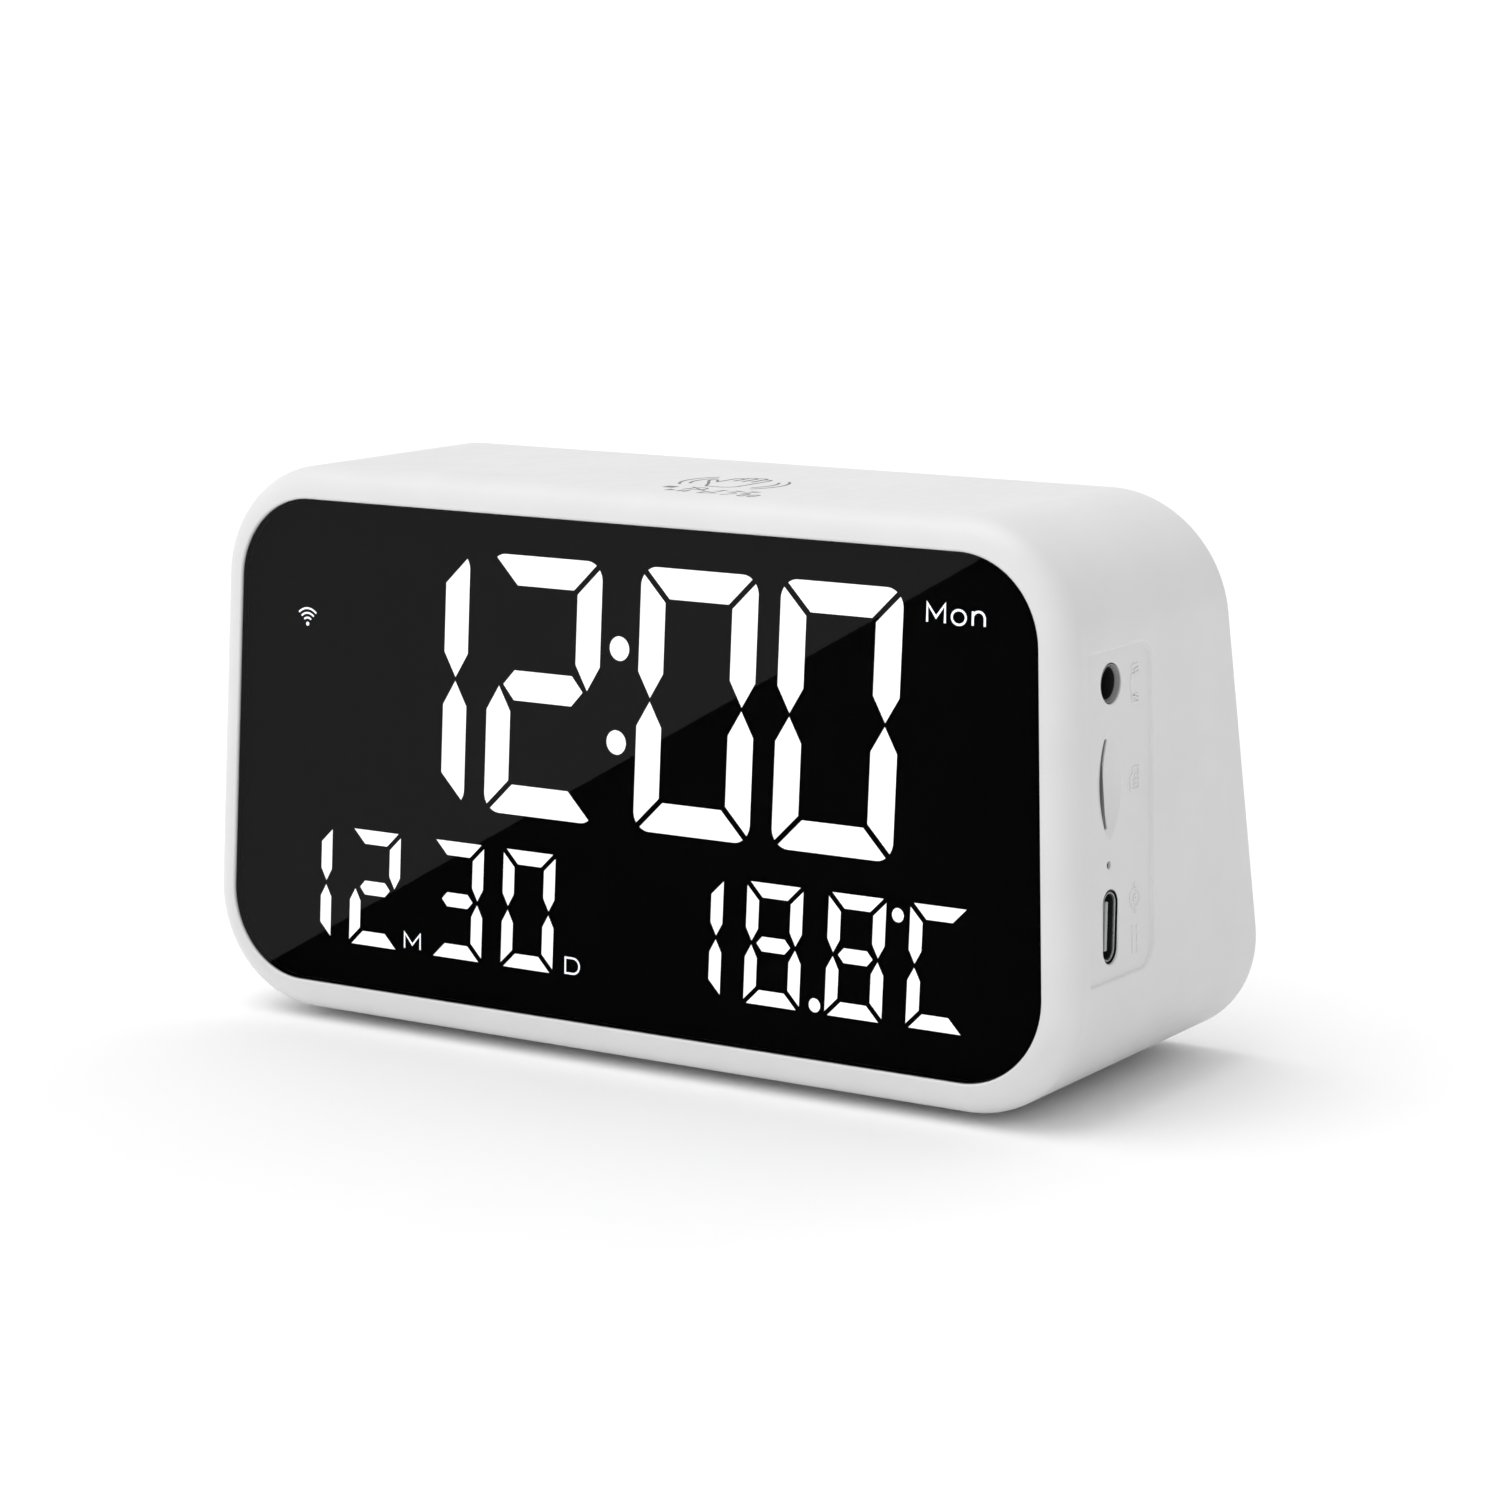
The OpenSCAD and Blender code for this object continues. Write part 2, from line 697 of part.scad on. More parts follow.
module ribbon_cable() color("#8d9096") on_face() {
    for (i = [-4:4]) ribbon_wire(i * 1.1);
}

module button(x) color("#dfdfde") on_rear() translate([x, 0, button_v]) {
    disc_along_y(button_dia / 2, cover_in - 0.5, cover_out + button_out);
    disc_along_y(button_dia / 2 + 0.6, cover_in - 1.1, cover_in - 0.3);
    disc_along_y(1.6, switch_top + plunger_up, cover_in - 1);
}

module plunger(x) color("#8f2d25") on_rear() translate([x, 0, button_v]) {
    disc_along_y(1.2, switch_top - plunger_down, switch_top + plunger_up);
}

module board_screws() color("#9a9ca0") {
    on_face() board_screw_places()
        translate([0, board_back, 0]) mirror([0, 1, 0]) screw(1.8, 1.2, 0.75, 4);
    on_rear() small_board_screw_places()
        translate([0, small_board_out - board_t, 0]) screw(1.8, 1.2, 0.75, 5);
}

module cover_screws() color("#8b8d91") on_rear() cover_screw_places() {
    translate([0, cover_out - 1.3, 0]) mirror([0, 1, 0]) screw(2.5, 1.2, 1.05, 9);
}

module rubber_feet() color("#3a3a3c") {
    rise = foot_lift + 0.6;
    for (x = [-foot_x, foot_x]) for (y = [12, 42]) difference() {
        translate([x, y - mid_y, 0]) cylinder(r = foot_dia / 2, h = rise);
        case_outside();
    }
}

housing();
rear_cover();
display_lens();
lens_adhesive();
segment_block();
hour_segments();
minute_segments();
colon_dots();
date_segments();
temperature_segments();
unlit_segments();
status_windows();
main_board();
segment_leds();
controller_chip();
amplifier_chip();
radio_module();
power_coil();
capacitors();
temperature_sensor();
audio_jack();
jack_contacts();
power_socket_shell();
power_socket_tongue();
card_socket();
microphone();
touch_plate();
touch_lead();
aerial_wire();
battery_cell();
battery_cradle();
battery_leads();
speaker_frame();
speaker_magnet();
speaker_cone();
dust_cap();
voice_coil();
speaker_surround();
speaker_gasket();
grille_cloth();
speaker_leads();
speaker_screws();
button_board();
switch_bodies();
ribbon_cable();
button(button_x[0]);  // button_1
button(button_x[1]);  // button_2
button(button_x[2]);  // button_3
button(button_x[3]);  // button_4
button(button_x[4]);  // button_5
plunger(button_x[0]);  // plunger_1
plunger(button_x[1]);  // plunger_2
plunger(button_x[2]);  // plunger_3
plunger(button_x[3]);  // plunger_4
plunger(button_x[4]);  // plunger_5
board_screws();
cover_screws();
rubber_feet();
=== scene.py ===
"""Bedside alarm clock: the looks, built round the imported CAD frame.

Shapes are worked out in millimetres in the case's own frames, whose matrices turn them into metres.
BASE sits on the front-bottom line of the case, FACE on its leaning front and REAR on its rear face.
"""

import math

import bmesh
import bpy
import numpy as np
from mathutils import Matrix, Vector
from mathutils.geometry import delaunay_2d_cdt


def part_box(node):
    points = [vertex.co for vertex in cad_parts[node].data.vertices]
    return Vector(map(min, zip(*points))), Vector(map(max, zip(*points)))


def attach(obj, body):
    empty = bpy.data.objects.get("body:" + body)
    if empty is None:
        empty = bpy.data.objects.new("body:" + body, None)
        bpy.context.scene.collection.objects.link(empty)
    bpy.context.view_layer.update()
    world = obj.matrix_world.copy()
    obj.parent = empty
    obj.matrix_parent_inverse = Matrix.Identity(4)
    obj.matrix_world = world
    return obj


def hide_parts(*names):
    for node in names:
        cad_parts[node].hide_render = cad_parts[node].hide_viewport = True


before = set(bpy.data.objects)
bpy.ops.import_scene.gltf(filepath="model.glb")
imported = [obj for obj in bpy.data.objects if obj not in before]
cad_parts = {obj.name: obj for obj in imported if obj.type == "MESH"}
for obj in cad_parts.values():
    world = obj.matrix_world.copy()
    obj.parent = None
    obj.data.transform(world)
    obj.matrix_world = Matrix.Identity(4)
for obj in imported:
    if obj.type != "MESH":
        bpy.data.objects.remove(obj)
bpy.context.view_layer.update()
scene = bpy.context.scene

# ---- sizes, in millimetres

MM = 0.001
CASE_W = 140.6
FACE_H = 76.0
BASE_D = 52.6
REAR_H = 75.4
REAR_RISE = 0.4
CORNER_R = 16.2
ROLL_W = 4.4
ROLL_D = 4.2
WALL = 2.2
FACE_LEAN = math.radians(2.6)
REAR_LEAN = math.radians(7.3)
END_DRAFT = math.radians(2.1)

LENS_SET = 0.3
LENS_BACK = 2.3
LEDGE_FRONT = 2.5
LEDGE_BACK = 3.9
WINDOW_INSET = 6.6
BAR_FRONT = 2.45
BAR_BACK = 6.2
BOARD_FRONT = 7.4

RECESS = 0.4
RECESS_LOW = 17.4
RECESS_HIGH = 59.1
RECESS_FRONT = 5.2
RECESS_REAR = 21.4
RECESS_R = 3.3
JACK_D = 11.5
JACK_V = 55.3
CARD_V = 42.7
CARD_D = 10.5
CARD_LEN = 11.4
MIC_V = 32.5
MIC_D = 10.7
POWER_V = 24.6
POWER_D = 11.0

COVER_OUT = -0.3
COVER_IN = -2.5
COVER_INSET = WALL + 0.15
COVER_LIP = 2.0
SCREW_V = 9.3
SCREW_EDGE = 8.6
SCREW_SINK = 1.3
SPEAKER_V = 33.0
GRILLE_PITCH = 4.0
GRILLE_R = 1.1
BUTTON_V = 65.0
BUTTON_R = 3.8
BUTTON_GAP = 0.2
BUTTON_TOP = 0.9
EAR = 19.5

FOOT_R = 4.5
DIGIT_SLANT = math.tan(math.radians(1.7))

# ---- frames

housing_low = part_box("housing")[0]
BASE_Y = housing_low.y - ROLL_W * math.sin(FACE_LEAN) * MM
BASE_Z = housing_low.z + ROLL_D * math.sin(FACE_LEAN) * MM
BASE = Matrix.Translation((0, BASE_Y, BASE_Z)) @ Matrix.Scale(MM, 4)
FACE_IN_BASE = Matrix.Rotation(-FACE_LEAN, 4, "X")
REAR_IN_BASE = Matrix.Translation((0, BASE_D, REAR_RISE)) @ Matrix.Rotation(REAR_LEAN, 4, "X")
FACE = BASE @ FACE_IN_BASE
REAR = BASE @ REAR_IN_BASE

TOP_Y = FACE_H * math.sin(FACE_LEAN) + ROLL_D * math.cos(FACE_LEAN)
TOP_Z = FACE_H * math.cos(FACE_LEAN) - ROLL_D * math.sin(FACE_LEAN)
TOP_FALL = math.atan2(
    TOP_Z - REAR_H * math.cos(REAR_LEAN) - REAR_RISE,
    BASE_D - REAR_H * math.sin(REAR_LEAN) - TOP_Y,
)


def end_x(v):
    """Distance from the middle of the case to an end wall's face at height v."""
    return CASE_W / 2 - v * math.tan(END_DRAFT)


# ---- outlines, as lists of (x, y)


def arc(cx, cy, r, start, end, steps):
    """Points on a circle from one angle in degrees to another."""
    angles = [math.radians(start + (end - start) * i / steps) for i in range(steps + 1)]
    return [(cx + r * math.cos(a), cy + r * math.sin(a)) for a in angles]


def circle(r, steps=32, at=(0, 0)):
    return arc(at[0], at[1], r, 0, 360 * (steps - 1) / steps, steps - 1)


def stadium(length, width, grow, at=(0, 0)):
    """Round-ended slot, long along the second axis."""
    r = width / 2 + grow
    half = (length - width) / 2
    return arc(at[0], at[1] + half, r, 0, 180, 14) + arc(at[0], at[1] - half, r, 180, 360, 14)


def round_box(w, h, r, at=(0, 0), steps=5):
    x, y = w / 2 - r, h / 2 - r
    corners = [(x, -y, -90), (x, y, 0), (-x, y, 90), (-x, -y, 180)]
    return [p for cx, cy, a in corners for p in arc(at[0] + cx, at[1] + cy, r, a, a + 90, steps)]


def finer(points, longest):
    """The same closed outline with no side longer than longest."""
    out = []
    for a, b in zip(points, points[1:] + points[:1]):
        n = max(math.ceil(math.dist(a, b) / longest), 1)
        out += [(a[0] + (b[0] - a[0]) * k / n, a[1] + (b[1] - a[1]) * k / n) for k in range(n)]
    return out


def fillet(points, radius):
    """A polygon with each corner rounded by radius, or less where its sides are short."""
    out = []
    n = len(points)
    for i, corner in enumerate(points):
        p, before, after = Vector(corner), Vector(points[i - 1]), Vector(points[(i + 1) % n])
        u, w = (before - p).normalized(), (after - p).normalized()
        half = u.angle(w) / 2
        reach = min(radius / math.tan(half), (before - p).length * 0.45, (after - p).length * 0.45)
        a, b = p + u * reach, p + w * reach
        for k in range(5):
            t = k / 4
            out.append(tuple(a * (1 - t) ** 2 + p * 2 * t * (1 - t) + b * t * t))
    return out


ARC_STEPS = 24
SUPPORT = 0.2


def outline(inset, high):
    """The case's outline, set in by inset, for a face that is high tall. Supports keep the flats flat."""
    r = CORNER_R - inset
    low, top = CORNER_R, high - CORNER_R
    shift = inset * (1 - math.tan(END_DRAFT)) + r / math.cos(END_DRAFT)
    x0, x1 = end_x(low) - shift, end_x(top) - shift
    draft = math.degrees(END_DRAFT)
    arcs = [
        arc(x0, low, r, -90, draft, ARC_STEPS),
        arc(x1, top, r, draft, 90, ARC_STEPS),
        arc(-x1, top, r, 90, 180 - draft, ARC_STEPS),
        arc(-x0, low, r, 180 - draft, 270, ARC_STEPS),
    ]
    points = []
    for i, corner in enumerate(arcs):
        a, b = Vector(corner[-1]), Vector(arcs[(i + 1) % 4][0])
        u = (b - a).normalized() * SUPPORT
        points += corner + [tuple(a + u), tuple(b - u)]
    return points


RIGHT_EDGE = ARC_STEPS + 1  # the outline's point where its right-hand flat starts


def pane_ring(inset, depth):
    """The outline in the face's own frame."""
    return [Vector((x, depth, v)) for x, v in outline(inset, FACE_H)]


def face_ring(inset, depth):
    return [FACE_IN_BASE @ p for p in pane_ring(inset, depth)]


def rear_ring(inset):
    return [REAR_IN_BASE @ Vector((x, 0, v)) for x, v in outline(inset, REAR_H)]


def between(a, b, t):
    return [p.lerp(q, t) for p, q in zip(a, b)]


def around(x, v, at=Matrix()):
    """Place about an axis that runs through (x, v) in the frame at."""
    return lambda a, b, d: at @ Vector((x + a, d, v + b))


# ---- meshes


class Shell:
    """Faces gathered in one frame, in millimetres, before they become one mesh."""

    def __init__(self):
        self.points = []
        self.faces = []

    def add(self, points, faces):
        n = len(self.points)
        self.points += [tuple(p) for p in points]
        self.faces += [[n + i for i in f] for f in faces]

    def skin(self, rings, skip=()):
        """Quads between each ring and the next, apart from the (ring, point) quads in skip."""
        n = len(rings[0])
        quads = [
            [k * n + i, k * n + (i + 1) % n, (k + 1) * n + (i + 1) % n, (k + 1) * n + i]
            for k in range(len(rings) - 1)
            for i in range(n)
            if (k, i) not in skip
        ]
        self.add([p for ring in rings for p in ring], quads)

    def cap(self, ring):
        self.add(ring, [list(range(len(ring)))])

    def solid(self, rings):
        """A skin that is closed at both ends."""
        self.skin(rings)
        self.cap(rings[0])
        self.cap(rings[-1])

    def sheet(self, border, holes, place, lines=(), inner=()):
        """A flat or curved sheet over the (x, y) region inside border and outside the holes."""
        flat, edges = [], []
        for loop in [border, *holes, *lines]:
            n = len(flat)
            flat += loop
            edges += [(n + i, n + (i + 1) % len(loop)) for i in range(len(loop))]
        flat += inner
        made = delaunay_2d_cdt([Vector(p) for p in flat], edges, [], 0, 1e-7, False)
        xy = np.array([tuple(p) for p in made[0]])
        middles = xy[np.array(made[2])].mean(axis=1)
        crossings = np.zeros(len(middles), int)
        for loop in [border, *holes]:
            for (ax, ay), (bx, by) in zip(loop, loop[1:] + loop[:1]):
                if ay == by:
                    continue
                spans = (middles[:, 1] > min(ay, by)) & (middles[:, 1] <= max(ay, by))
                cut = ax + (middles[:, 1] - ay) * (bx - ax) / (by - ay)
                crossings += spans & (cut > middles[:, 0])
        kept = [list(t) for t, c in zip(made[2], crossings) if c % 2]
        self.add([place(*p) for p in xy], kept)

    def lathe(self, profile, place, steps=48):
        """A closed turned solid from (radius, distance) pairs, set on its axis by place(a, b, distance)."""
        rings = [[place(x, y, d) for x, y in circle(r, steps)] for r, d in profile if r > 0]
        self.skin(rings)
        if profile[0][0] == 0:
            self.fan(place(0, 0, profile[0][1]), rings[0])
        if profile[-1][0] == 0:
            self.fan(place(0, 0, profile[-1][1]), rings[-1])
        if profile[0][0] > 0:
            self.skin([rings[-1], rings[0]])

    def fan(self, tip, ring):
        n = len(ring)
        self.add([tip, *ring], [[0, i + 1, (i + 1) % n + 1] for i in range(n)])

    def prism(self, points, place, back, front, soft=0.0):
        """A closed block over a polygon from back to front, its front edge softened inwards by soft."""
        middle = sum((Vector(p) for p in points), Vector((0, 0))) / len(points)
        size = max((Vector(p) - middle).length for p in points)
        small = [tuple(middle + (Vector(p) - middle) * (1 - soft / size)) for p in points]
        turn = soft if front > back else -soft
        layers = ((points, back), (points, front - turn), (small, front))
        self.solid([[place(x, y, d) for x, y in flat] for flat, d in layers])

    def stroke(self, points, width, place, height, closed=False):
        """A drawn line as a low ridge that stands height above its surface."""
        n = len(points)
        sides = []
        for i, p in enumerate(points):
            before = points[i - 1] if i or closed else p
            after = points[(i + 1) % n] if i < n - 1 or closed else p
            u = Vector(p) - Vector(before)
            w = Vector(after) - Vector(p)
            u, w = (u if u.length else w).normalized(), (w if w.length else u).normalized()
            along = (u + w).normalized() if (u + w).length > 1e-6 else u
            across = Vector((-along.y, along.x))
            wide = min(1 / max(across.dot(Vector((-u.y, u.x))), 0.35), 2.2)
            row = []
            for share, up in ((-0.5, -0.02), (-0.38, height), (0.38, height), (0.5, -0.02)):
                q = Vector(p) + across * width * share * wide
                row.append(place(q.x, q.y, up))
            sides.append(row)
        if closed:
            self.skin([*sides, sides[0]])
        else:
            self.solid(sides)

    def make(self, name, at, paint, stands_for=(), body="clock_case", sharp=28):
        """The mesh object, moved into metres by the frame at, and riding on a body."""
        mesh = bpy.data.meshes.new(name)
        mesh.from_pydata(self.points, [], self.faces)
        work = bmesh.new()
        work.from_mesh(mesh)
        bmesh.ops.remove_doubles(work, verts=work.verts, dist=2e-4)
        bmesh.ops.dissolve_degenerate(work, edges=work.edges, dist=1e-5)
        bmesh.ops.recalc_face_normals(work, faces=work.faces)
        work.to_mesh(mesh)
        work.free()
        mesh.transform(at)
        mesh.shade_smooth()
        mesh.set_sharp_from_angle(angle=math.radians(sharp))
        piece = bpy.data.objects.new(name, mesh)
        scene.collection.objects.link(piece)
        mesh.materials.append(paint)
        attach(piece, body)
        if stands_for:
            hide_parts(*stands_for)


# ---- materials


class Tree:
    """A material's or a world's node tree, with short ways to add and join nodes."""

    def __init__(self, owner, shader):
        owner.use_nodes = True
        self.nodes = owner.node_tree.nodes
        self.links = owner.node_tree.links
        self.shader = self.nodes[shader]

    def add(self, kind, **values):
        node = self.nodes.new("ShaderNode" + kind)
        for key, value in values.items():
            if hasattr(node, key):
                setattr(node, key, value)
            else:
                node.inputs[key.replace("_", " ")].default_value = value
        return node

    def set(self, **values):
        """Constants for the shader's own sockets."""
        for key, value in values.items():
            self.shader.inputs[key.replace("_", " ")].default_value = value

    def link(self, source, node, socket):
        self.links.new(source, node.inputs[socket])

    def math(self, operation, a, b):
        node = self.add("Math", operation=operation)
        self.link(a, node, 0)
        self.link(b, node, 1)
        return node.outputs[0]

    def spread(self, source, low, high, start=0.3, end=0.7):
        """Source, mapped to a value from low to high."""
        node = self.add("MapRange", From_Min=start, From_Max=end, To_Min=low, To_Max=high)
        self.link(source, node, "Value")
        return node.outputs["Result"]


class Paint(Tree):
    """A material whose noises and relief are sized in millimetres."""

    def __init__(self, name):
        self.material = bpy.data.materials.new(name)
        super().__init__(self.material, "Principled BSDF")
        self.place = self.add("TexCoord").outputs["Object"]

    def noise(self, size, detail=3.0, rough=0.5, stretch=None):
        """Noise with features about size millimetres across."""
        node = self.add("TexNoise", Scale=1 / (size * MM), Detail=detail, Roughness=rough)
        source = self.place
        if stretch:
            mapping = self.add("Mapping", Scale=stretch)
            self.link(source, mapping, "Vector")
            source = mapping.outputs["Vector"]
        self.link(source, node, "Vector")
        return node.outputs["Fac"]

    def ramp(self, source, low, high, start=0.3, end=0.7):
        """Colours from low to high as source goes from start to end."""
        node = self.add("ValToRGB")
        for stop, position, colour in zip(node.color_ramp.elements, (start, end), (low, high)):
            stop.position = position
            stop.color = (*colour, 1)
        self.link(source, node, "Fac")
        return node.outputs["Color"]

    def tint(self, *shades):
        self.link(self.ramp(*shades), self.shader, "Base Color")

    def gloss(self, *shares):
        self.link(self.spread(*shares), self.shader, "Roughness")

    def bump(self, height, strength, depth, before=None):
        """Adds relief depth millimetres deep to the shader's normal."""
        node = self.add("Bump", Strength=strength, Distance=depth * MM)
        self.link(height, node, "Height")
        if before:
            self.link(before, node, "Normal")
        self.link(node.outputs["Normal"], self.shader, "Normal")
        return node.outputs["Normal"]


def shade(colour, factor):
    return tuple(min(c * factor, 1.0) for c in colour)


def grey(level):
    return (level, level, level)


def moulded(name, colour, rough, tone=0.015, relief=0.012, ior=1.5):
    """Moulded plastic: fine spark-eroded grain, slow changes of gloss and tone, and faint rub marks."""
    p = Paint(name)
    rub = p.noise(1.6, detail=4.0, rough=0.65, stretch=(1.0, 0.25, 1.0))
    p.tint(p.noise(9.0, detail=2.0), shade(colour, 1 - tone), shade(colour, 1 + tone))
    p.gloss(rub, rough - 0.05, rough + 0.07)
    p.set(IOR=ior)
    fine = p.bump(p.noise(0.35, detail=2.0), 0.35, relief)
    p.bump(p.noise(24.0, detail=1.0), 0.25, 0.05, before=fine)
    return p.material


def metal(name, colour, rough, brushed=(1.0, 1.0, 1.0)):
    """Plated or bare metal with brushing or handling marks."""
    p = Paint(name)
    marks = p.noise(0.25, detail=4.0, stretch=brushed)
    p.tint(marks, shade(colour, 0.94), shade(colour, 1.06))
    p.gloss(marks, rough - 0.08, rough + 0.12)
    p.set(Metallic=1.0)
    p.bump(marks, 0.3, 0.01)
    return p.material


def rubber(name, colour):
    """Dull elastomer with a slightly dusty bloom."""
    p = Paint(name)
    bloom = p.noise(2.0, detail=5.0, rough=0.6)
    p.tint(bloom, colour, shade(colour, 1.6))
    p.gloss(bloom, 0.6, 0.82)
    p.set(IOR=1.5)
    p.bump(p.noise(0.18, detail=3.0), 0.4, 0.02)
    return p.material


def smoked_acrylic():
    """Tinted display window: clear enough for the lit bars, with fine smears in its gloss."""
    p = Paint("smoked_acrylic")
    p.gloss(p.noise(14.0, detail=5.0, rough=0.6, stretch=(1.0, 1.0, 0.35)), 0.0, 0.004)
    p.set(Base_Color=(0.74, 0.74, 0.76, 1), Transmission_Weight=1.0, IOR=1.49)
    return p.material


def mask_black():
    """Dead black light box behind the window."""
    p = Paint("mask_black")
    fibre = p.noise(0.3, detail=4.0)
    p.tint(fibre, grey(0.0015), grey(0.004))
    p.gloss(fibre, 0.7, 0.95)
    p.set(Specular_IOR_Level=0.1)
    p.bump(fibre, 0.3, 0.01)
    return p.material


def lit_diffuser(name, tint, power):
    """White diffuser lit from behind, a touch uneven where its light sources sit."""
    p = Paint(name)
    hot = p.noise(2.6, detail=2.0)
    p.link(p.ramp(hot, shade(tint, 0.96), tint), p.shader, "Emission Color")
    p.tint(hot, grey(0.80), grey(0.86))
    p.set(Emission_Strength=power, Roughness=0.55)
    p.bump(p.noise(0.2, detail=2.0), 0.2, 0.01)
    return p.material


def circuit_board():
    """Solder-masked board: copper runs under green lacquer, seen as steps of tone and height."""
    p = Paint("circuit_board")
    runs = p.add("TexVoronoi", feature="F1", distance="CHEBYCHEV", Scale=1 / (2.4 * MM))
    p.link(p.place, runs, "Vector")
    edge = p.spread(runs.outputs["Distance"], 0.0, 1.0, 0.32, 0.36)
    p.tint(edge, (0.012, 0.10, 0.045), (0.018, 0.16, 0.07), 0, 1)
    p.gloss(p.noise(4.0), 0.28, 0.45)
    p.bump(edge, 0.4, 0.03)
    return p.material


def woven(name, colour):
    """Open cloth of crossing threads."""
    p = Paint(name)
    threads = []
    for way in ("X", "Z"):
        wave = p.add("TexWave", bands_direction=way, Scale=0.16 / (0.35 * MM), Distortion=0.4)
        p.link(p.place, wave, "Vector")
        threads.append(wave.outputs["Fac"])
    crossed = p.math("MAXIMUM", *threads)
    p.tint(crossed, shade(colour, 0.3), shade(colour, 1.8), 0.2, 0.9)
    p.set(Roughness=0.9, Sheen_Weight=0.2)
    p.bump(crossed, 0.8, 0.08)
    return p.material


def pulp(name, colour):
    """Pressed paper with short fibres."""
    p = Paint(name)
    fibres = p.noise(0.5, detail=6.0, rough=0.75, stretch=(1.0, 1.0, 3.0))
    p.tint(fibres, shade(colour, 0.6), shade(colour, 1.7))
    p.set(Roughness=0.85)
    p.bump(fibres, 0.6, 0.05)
    return p.material


def ink(name, colour):
    """Pad-printed ink: thin, matt, slightly uneven."""
    p = Paint(name)
    cover = p.noise(0.4, detail=4.0)
    p.tint(cover, colour, shade(colour, 1.25))
    p.gloss(cover, 0.5, 0.75)
    p.bump(cover, 0.2, 0.005)
    return p.material


WHITE = moulded("white_shell", grey(0.70), 0.36)
REAR_WHITE = moulded("rear_shell", grey(0.68), 0.48, relief=0.02)
BUTTON_WHITE = moulded("button_white", (0.62, 0.62, 0.625), 0.33)
SMOKED = smoked_acrylic()
MASK = mask_black()
LIT = lit_diffuser("bar_lit", (1.0, 1.0, 1.0), 1.45)
LIT_SMALL = lit_diffuser("glyph_lit", (0.92, 0.95, 1.0), 1.25)
SOCKET_BLACK = moulded("socket_black", (0.012, 0.012, 0.013), 0.3, 0.2)
JACK_GREY = moulded("jack_grey", (0.20, 0.20, 0.205), 0.34, 0.1)
TONGUE_GREY = moulded("tongue_grey", (0.42, 0.42, 0.43), 0.4, 0.08)
# Painted shade: a dark grey for the plug in the card slit, standing in for the shade inside the slit.
SLIT_SHADE_GREY = moulded("slit_shade_grey", grey(0.10), 0.5, 0.1)
TIN = metal("plated_tin", (0.40, 0.41, 0.42), 0.3)
STEEL = metal("screw_steel", (0.42, 0.43, 0.45), 0.32)
GOLD = metal("contact_gold", (0.83, 0.60, 0.28), 0.25)
FOOT_RUBBER = rubber("foot_rubber", (0.03, 0.03, 0.032))
PRINT = ink("print_grey", (0.16, 0.16, 0.165))

PLUNGERS = " ".join(f"plunger_{k}" for k in range(1, 6))

# The finish of the CAD nodes that are shown as they are
NODE_PAINT = {
    "lens_adhesive segment_block status_windows": MASK,
    "unlit_segments": moulded("bar_dark", grey(0.004), 0.8, 0.2, ior=1.1),
    "main_board button_board": circuit_board(),
    "segment_leds": moulded("led_yellow", (0.85, 0.72, 0.25), 0.3, 0.1),
    "controller_chip amplifier_chip switch_bodies": moulded("chip_black", (0.016, 0.016, 0.017), 0.55, 0.2),
    "radio_module": metal("shield_tin", (0.60, 0.61, 0.62), 0.38, brushed=(1.0, 1.0, 0.1)),
    "power_coil": pulp("ferrite", (0.05, 0.05, 0.055)),
    "capacitors": metal("capacitor_can", (0.50, 0.52, 0.56), 0.35, brushed=(0.1, 1.0, 1.0)),
    "temperature_sensor": moulded("bead_black", (0.03, 0.03, 0.035), 0.35, 0.2),
    "jack_contacts": metal("contact_brass", (0.72, 0.55, 0.25), 0.3),
    "card_socket": TIN,
    "microphone": metal("capsule_tin", (0.45, 0.46, 0.47), 0.35),
    "touch_plate": metal("copper_foil", (0.80, 0.42, 0.26), 0.35, brushed=(0.1, 1.0, 1.0)),
    "touch_lead": moulded("wire_blue", (0.03, 0.05, 0.30), 0.45, 0.15),
    "aerial_wire speaker_leads": moulded("wire_black", grey(0.015), 0.45, 0.2),
    "battery_cell": moulded("cell_sleeve", (0.03, 0.16, 0.45), 0.25, 0.08),
    "battery_cradle": moulded("cradle_black", (0.02, 0.02, 0.022), 0.5, 0.2),
    "battery_leads": moulded("wire_red", (0.50, 0.02, 0.015), 0.45, 0.15),
    "speaker_frame": metal("basket_steel", (0.06, 0.06, 0.065), 0.5),
    "speaker_magnet": metal("magnet_grey", (0.20, 0.20, 0.21), 0.55),
    "speaker_cone dust_cap": pulp("cone_paper", (0.02, 0.02, 0.022)),
    "voice_coil": metal("coil_copper", (0.78, 0.36, 0.18), 0.3, brushed=(0.1, 1.0, 0.1)),
    "speaker_surround": rubber("soft_rubber", grey(0.012)),
    "speaker_gasket": pulp("gasket_foam", grey(0.018)),
    "grille_cloth": woven("cloth_black", grey(0.02)),
    "ribbon_cable": moulded("ribbon_grey", (0.30, 0.31, 0.33), 0.5, 0.1),
    PLUNGERS: moulded("plunger_red", (0.40, 0.03, 0.02), 0.35, 0.1),
    "board_screws speaker_screws": STEEL,
}
for names, paint in NODE_PAINT.items():
    for name in names.split():
        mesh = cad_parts[name].data
        mesh.materials.clear()
        mesh.materials.append(paint)
        mesh.shade_smooth()
        mesh.set_sharp_from_angle(angle=math.radians(28))

# ---- the case

RIM_R = 0.3
REAR_R = 0.8


def quarter(steps=6):
    """(1 - cos, 1 - sin) pairs round a quarter turn, for a rounded edge."""
    angles = [math.radians(90 * i / steps) for i in range(steps + 1)]
    return [(1 - math.cos(a), 1 - math.sin(a)) for a in angles]


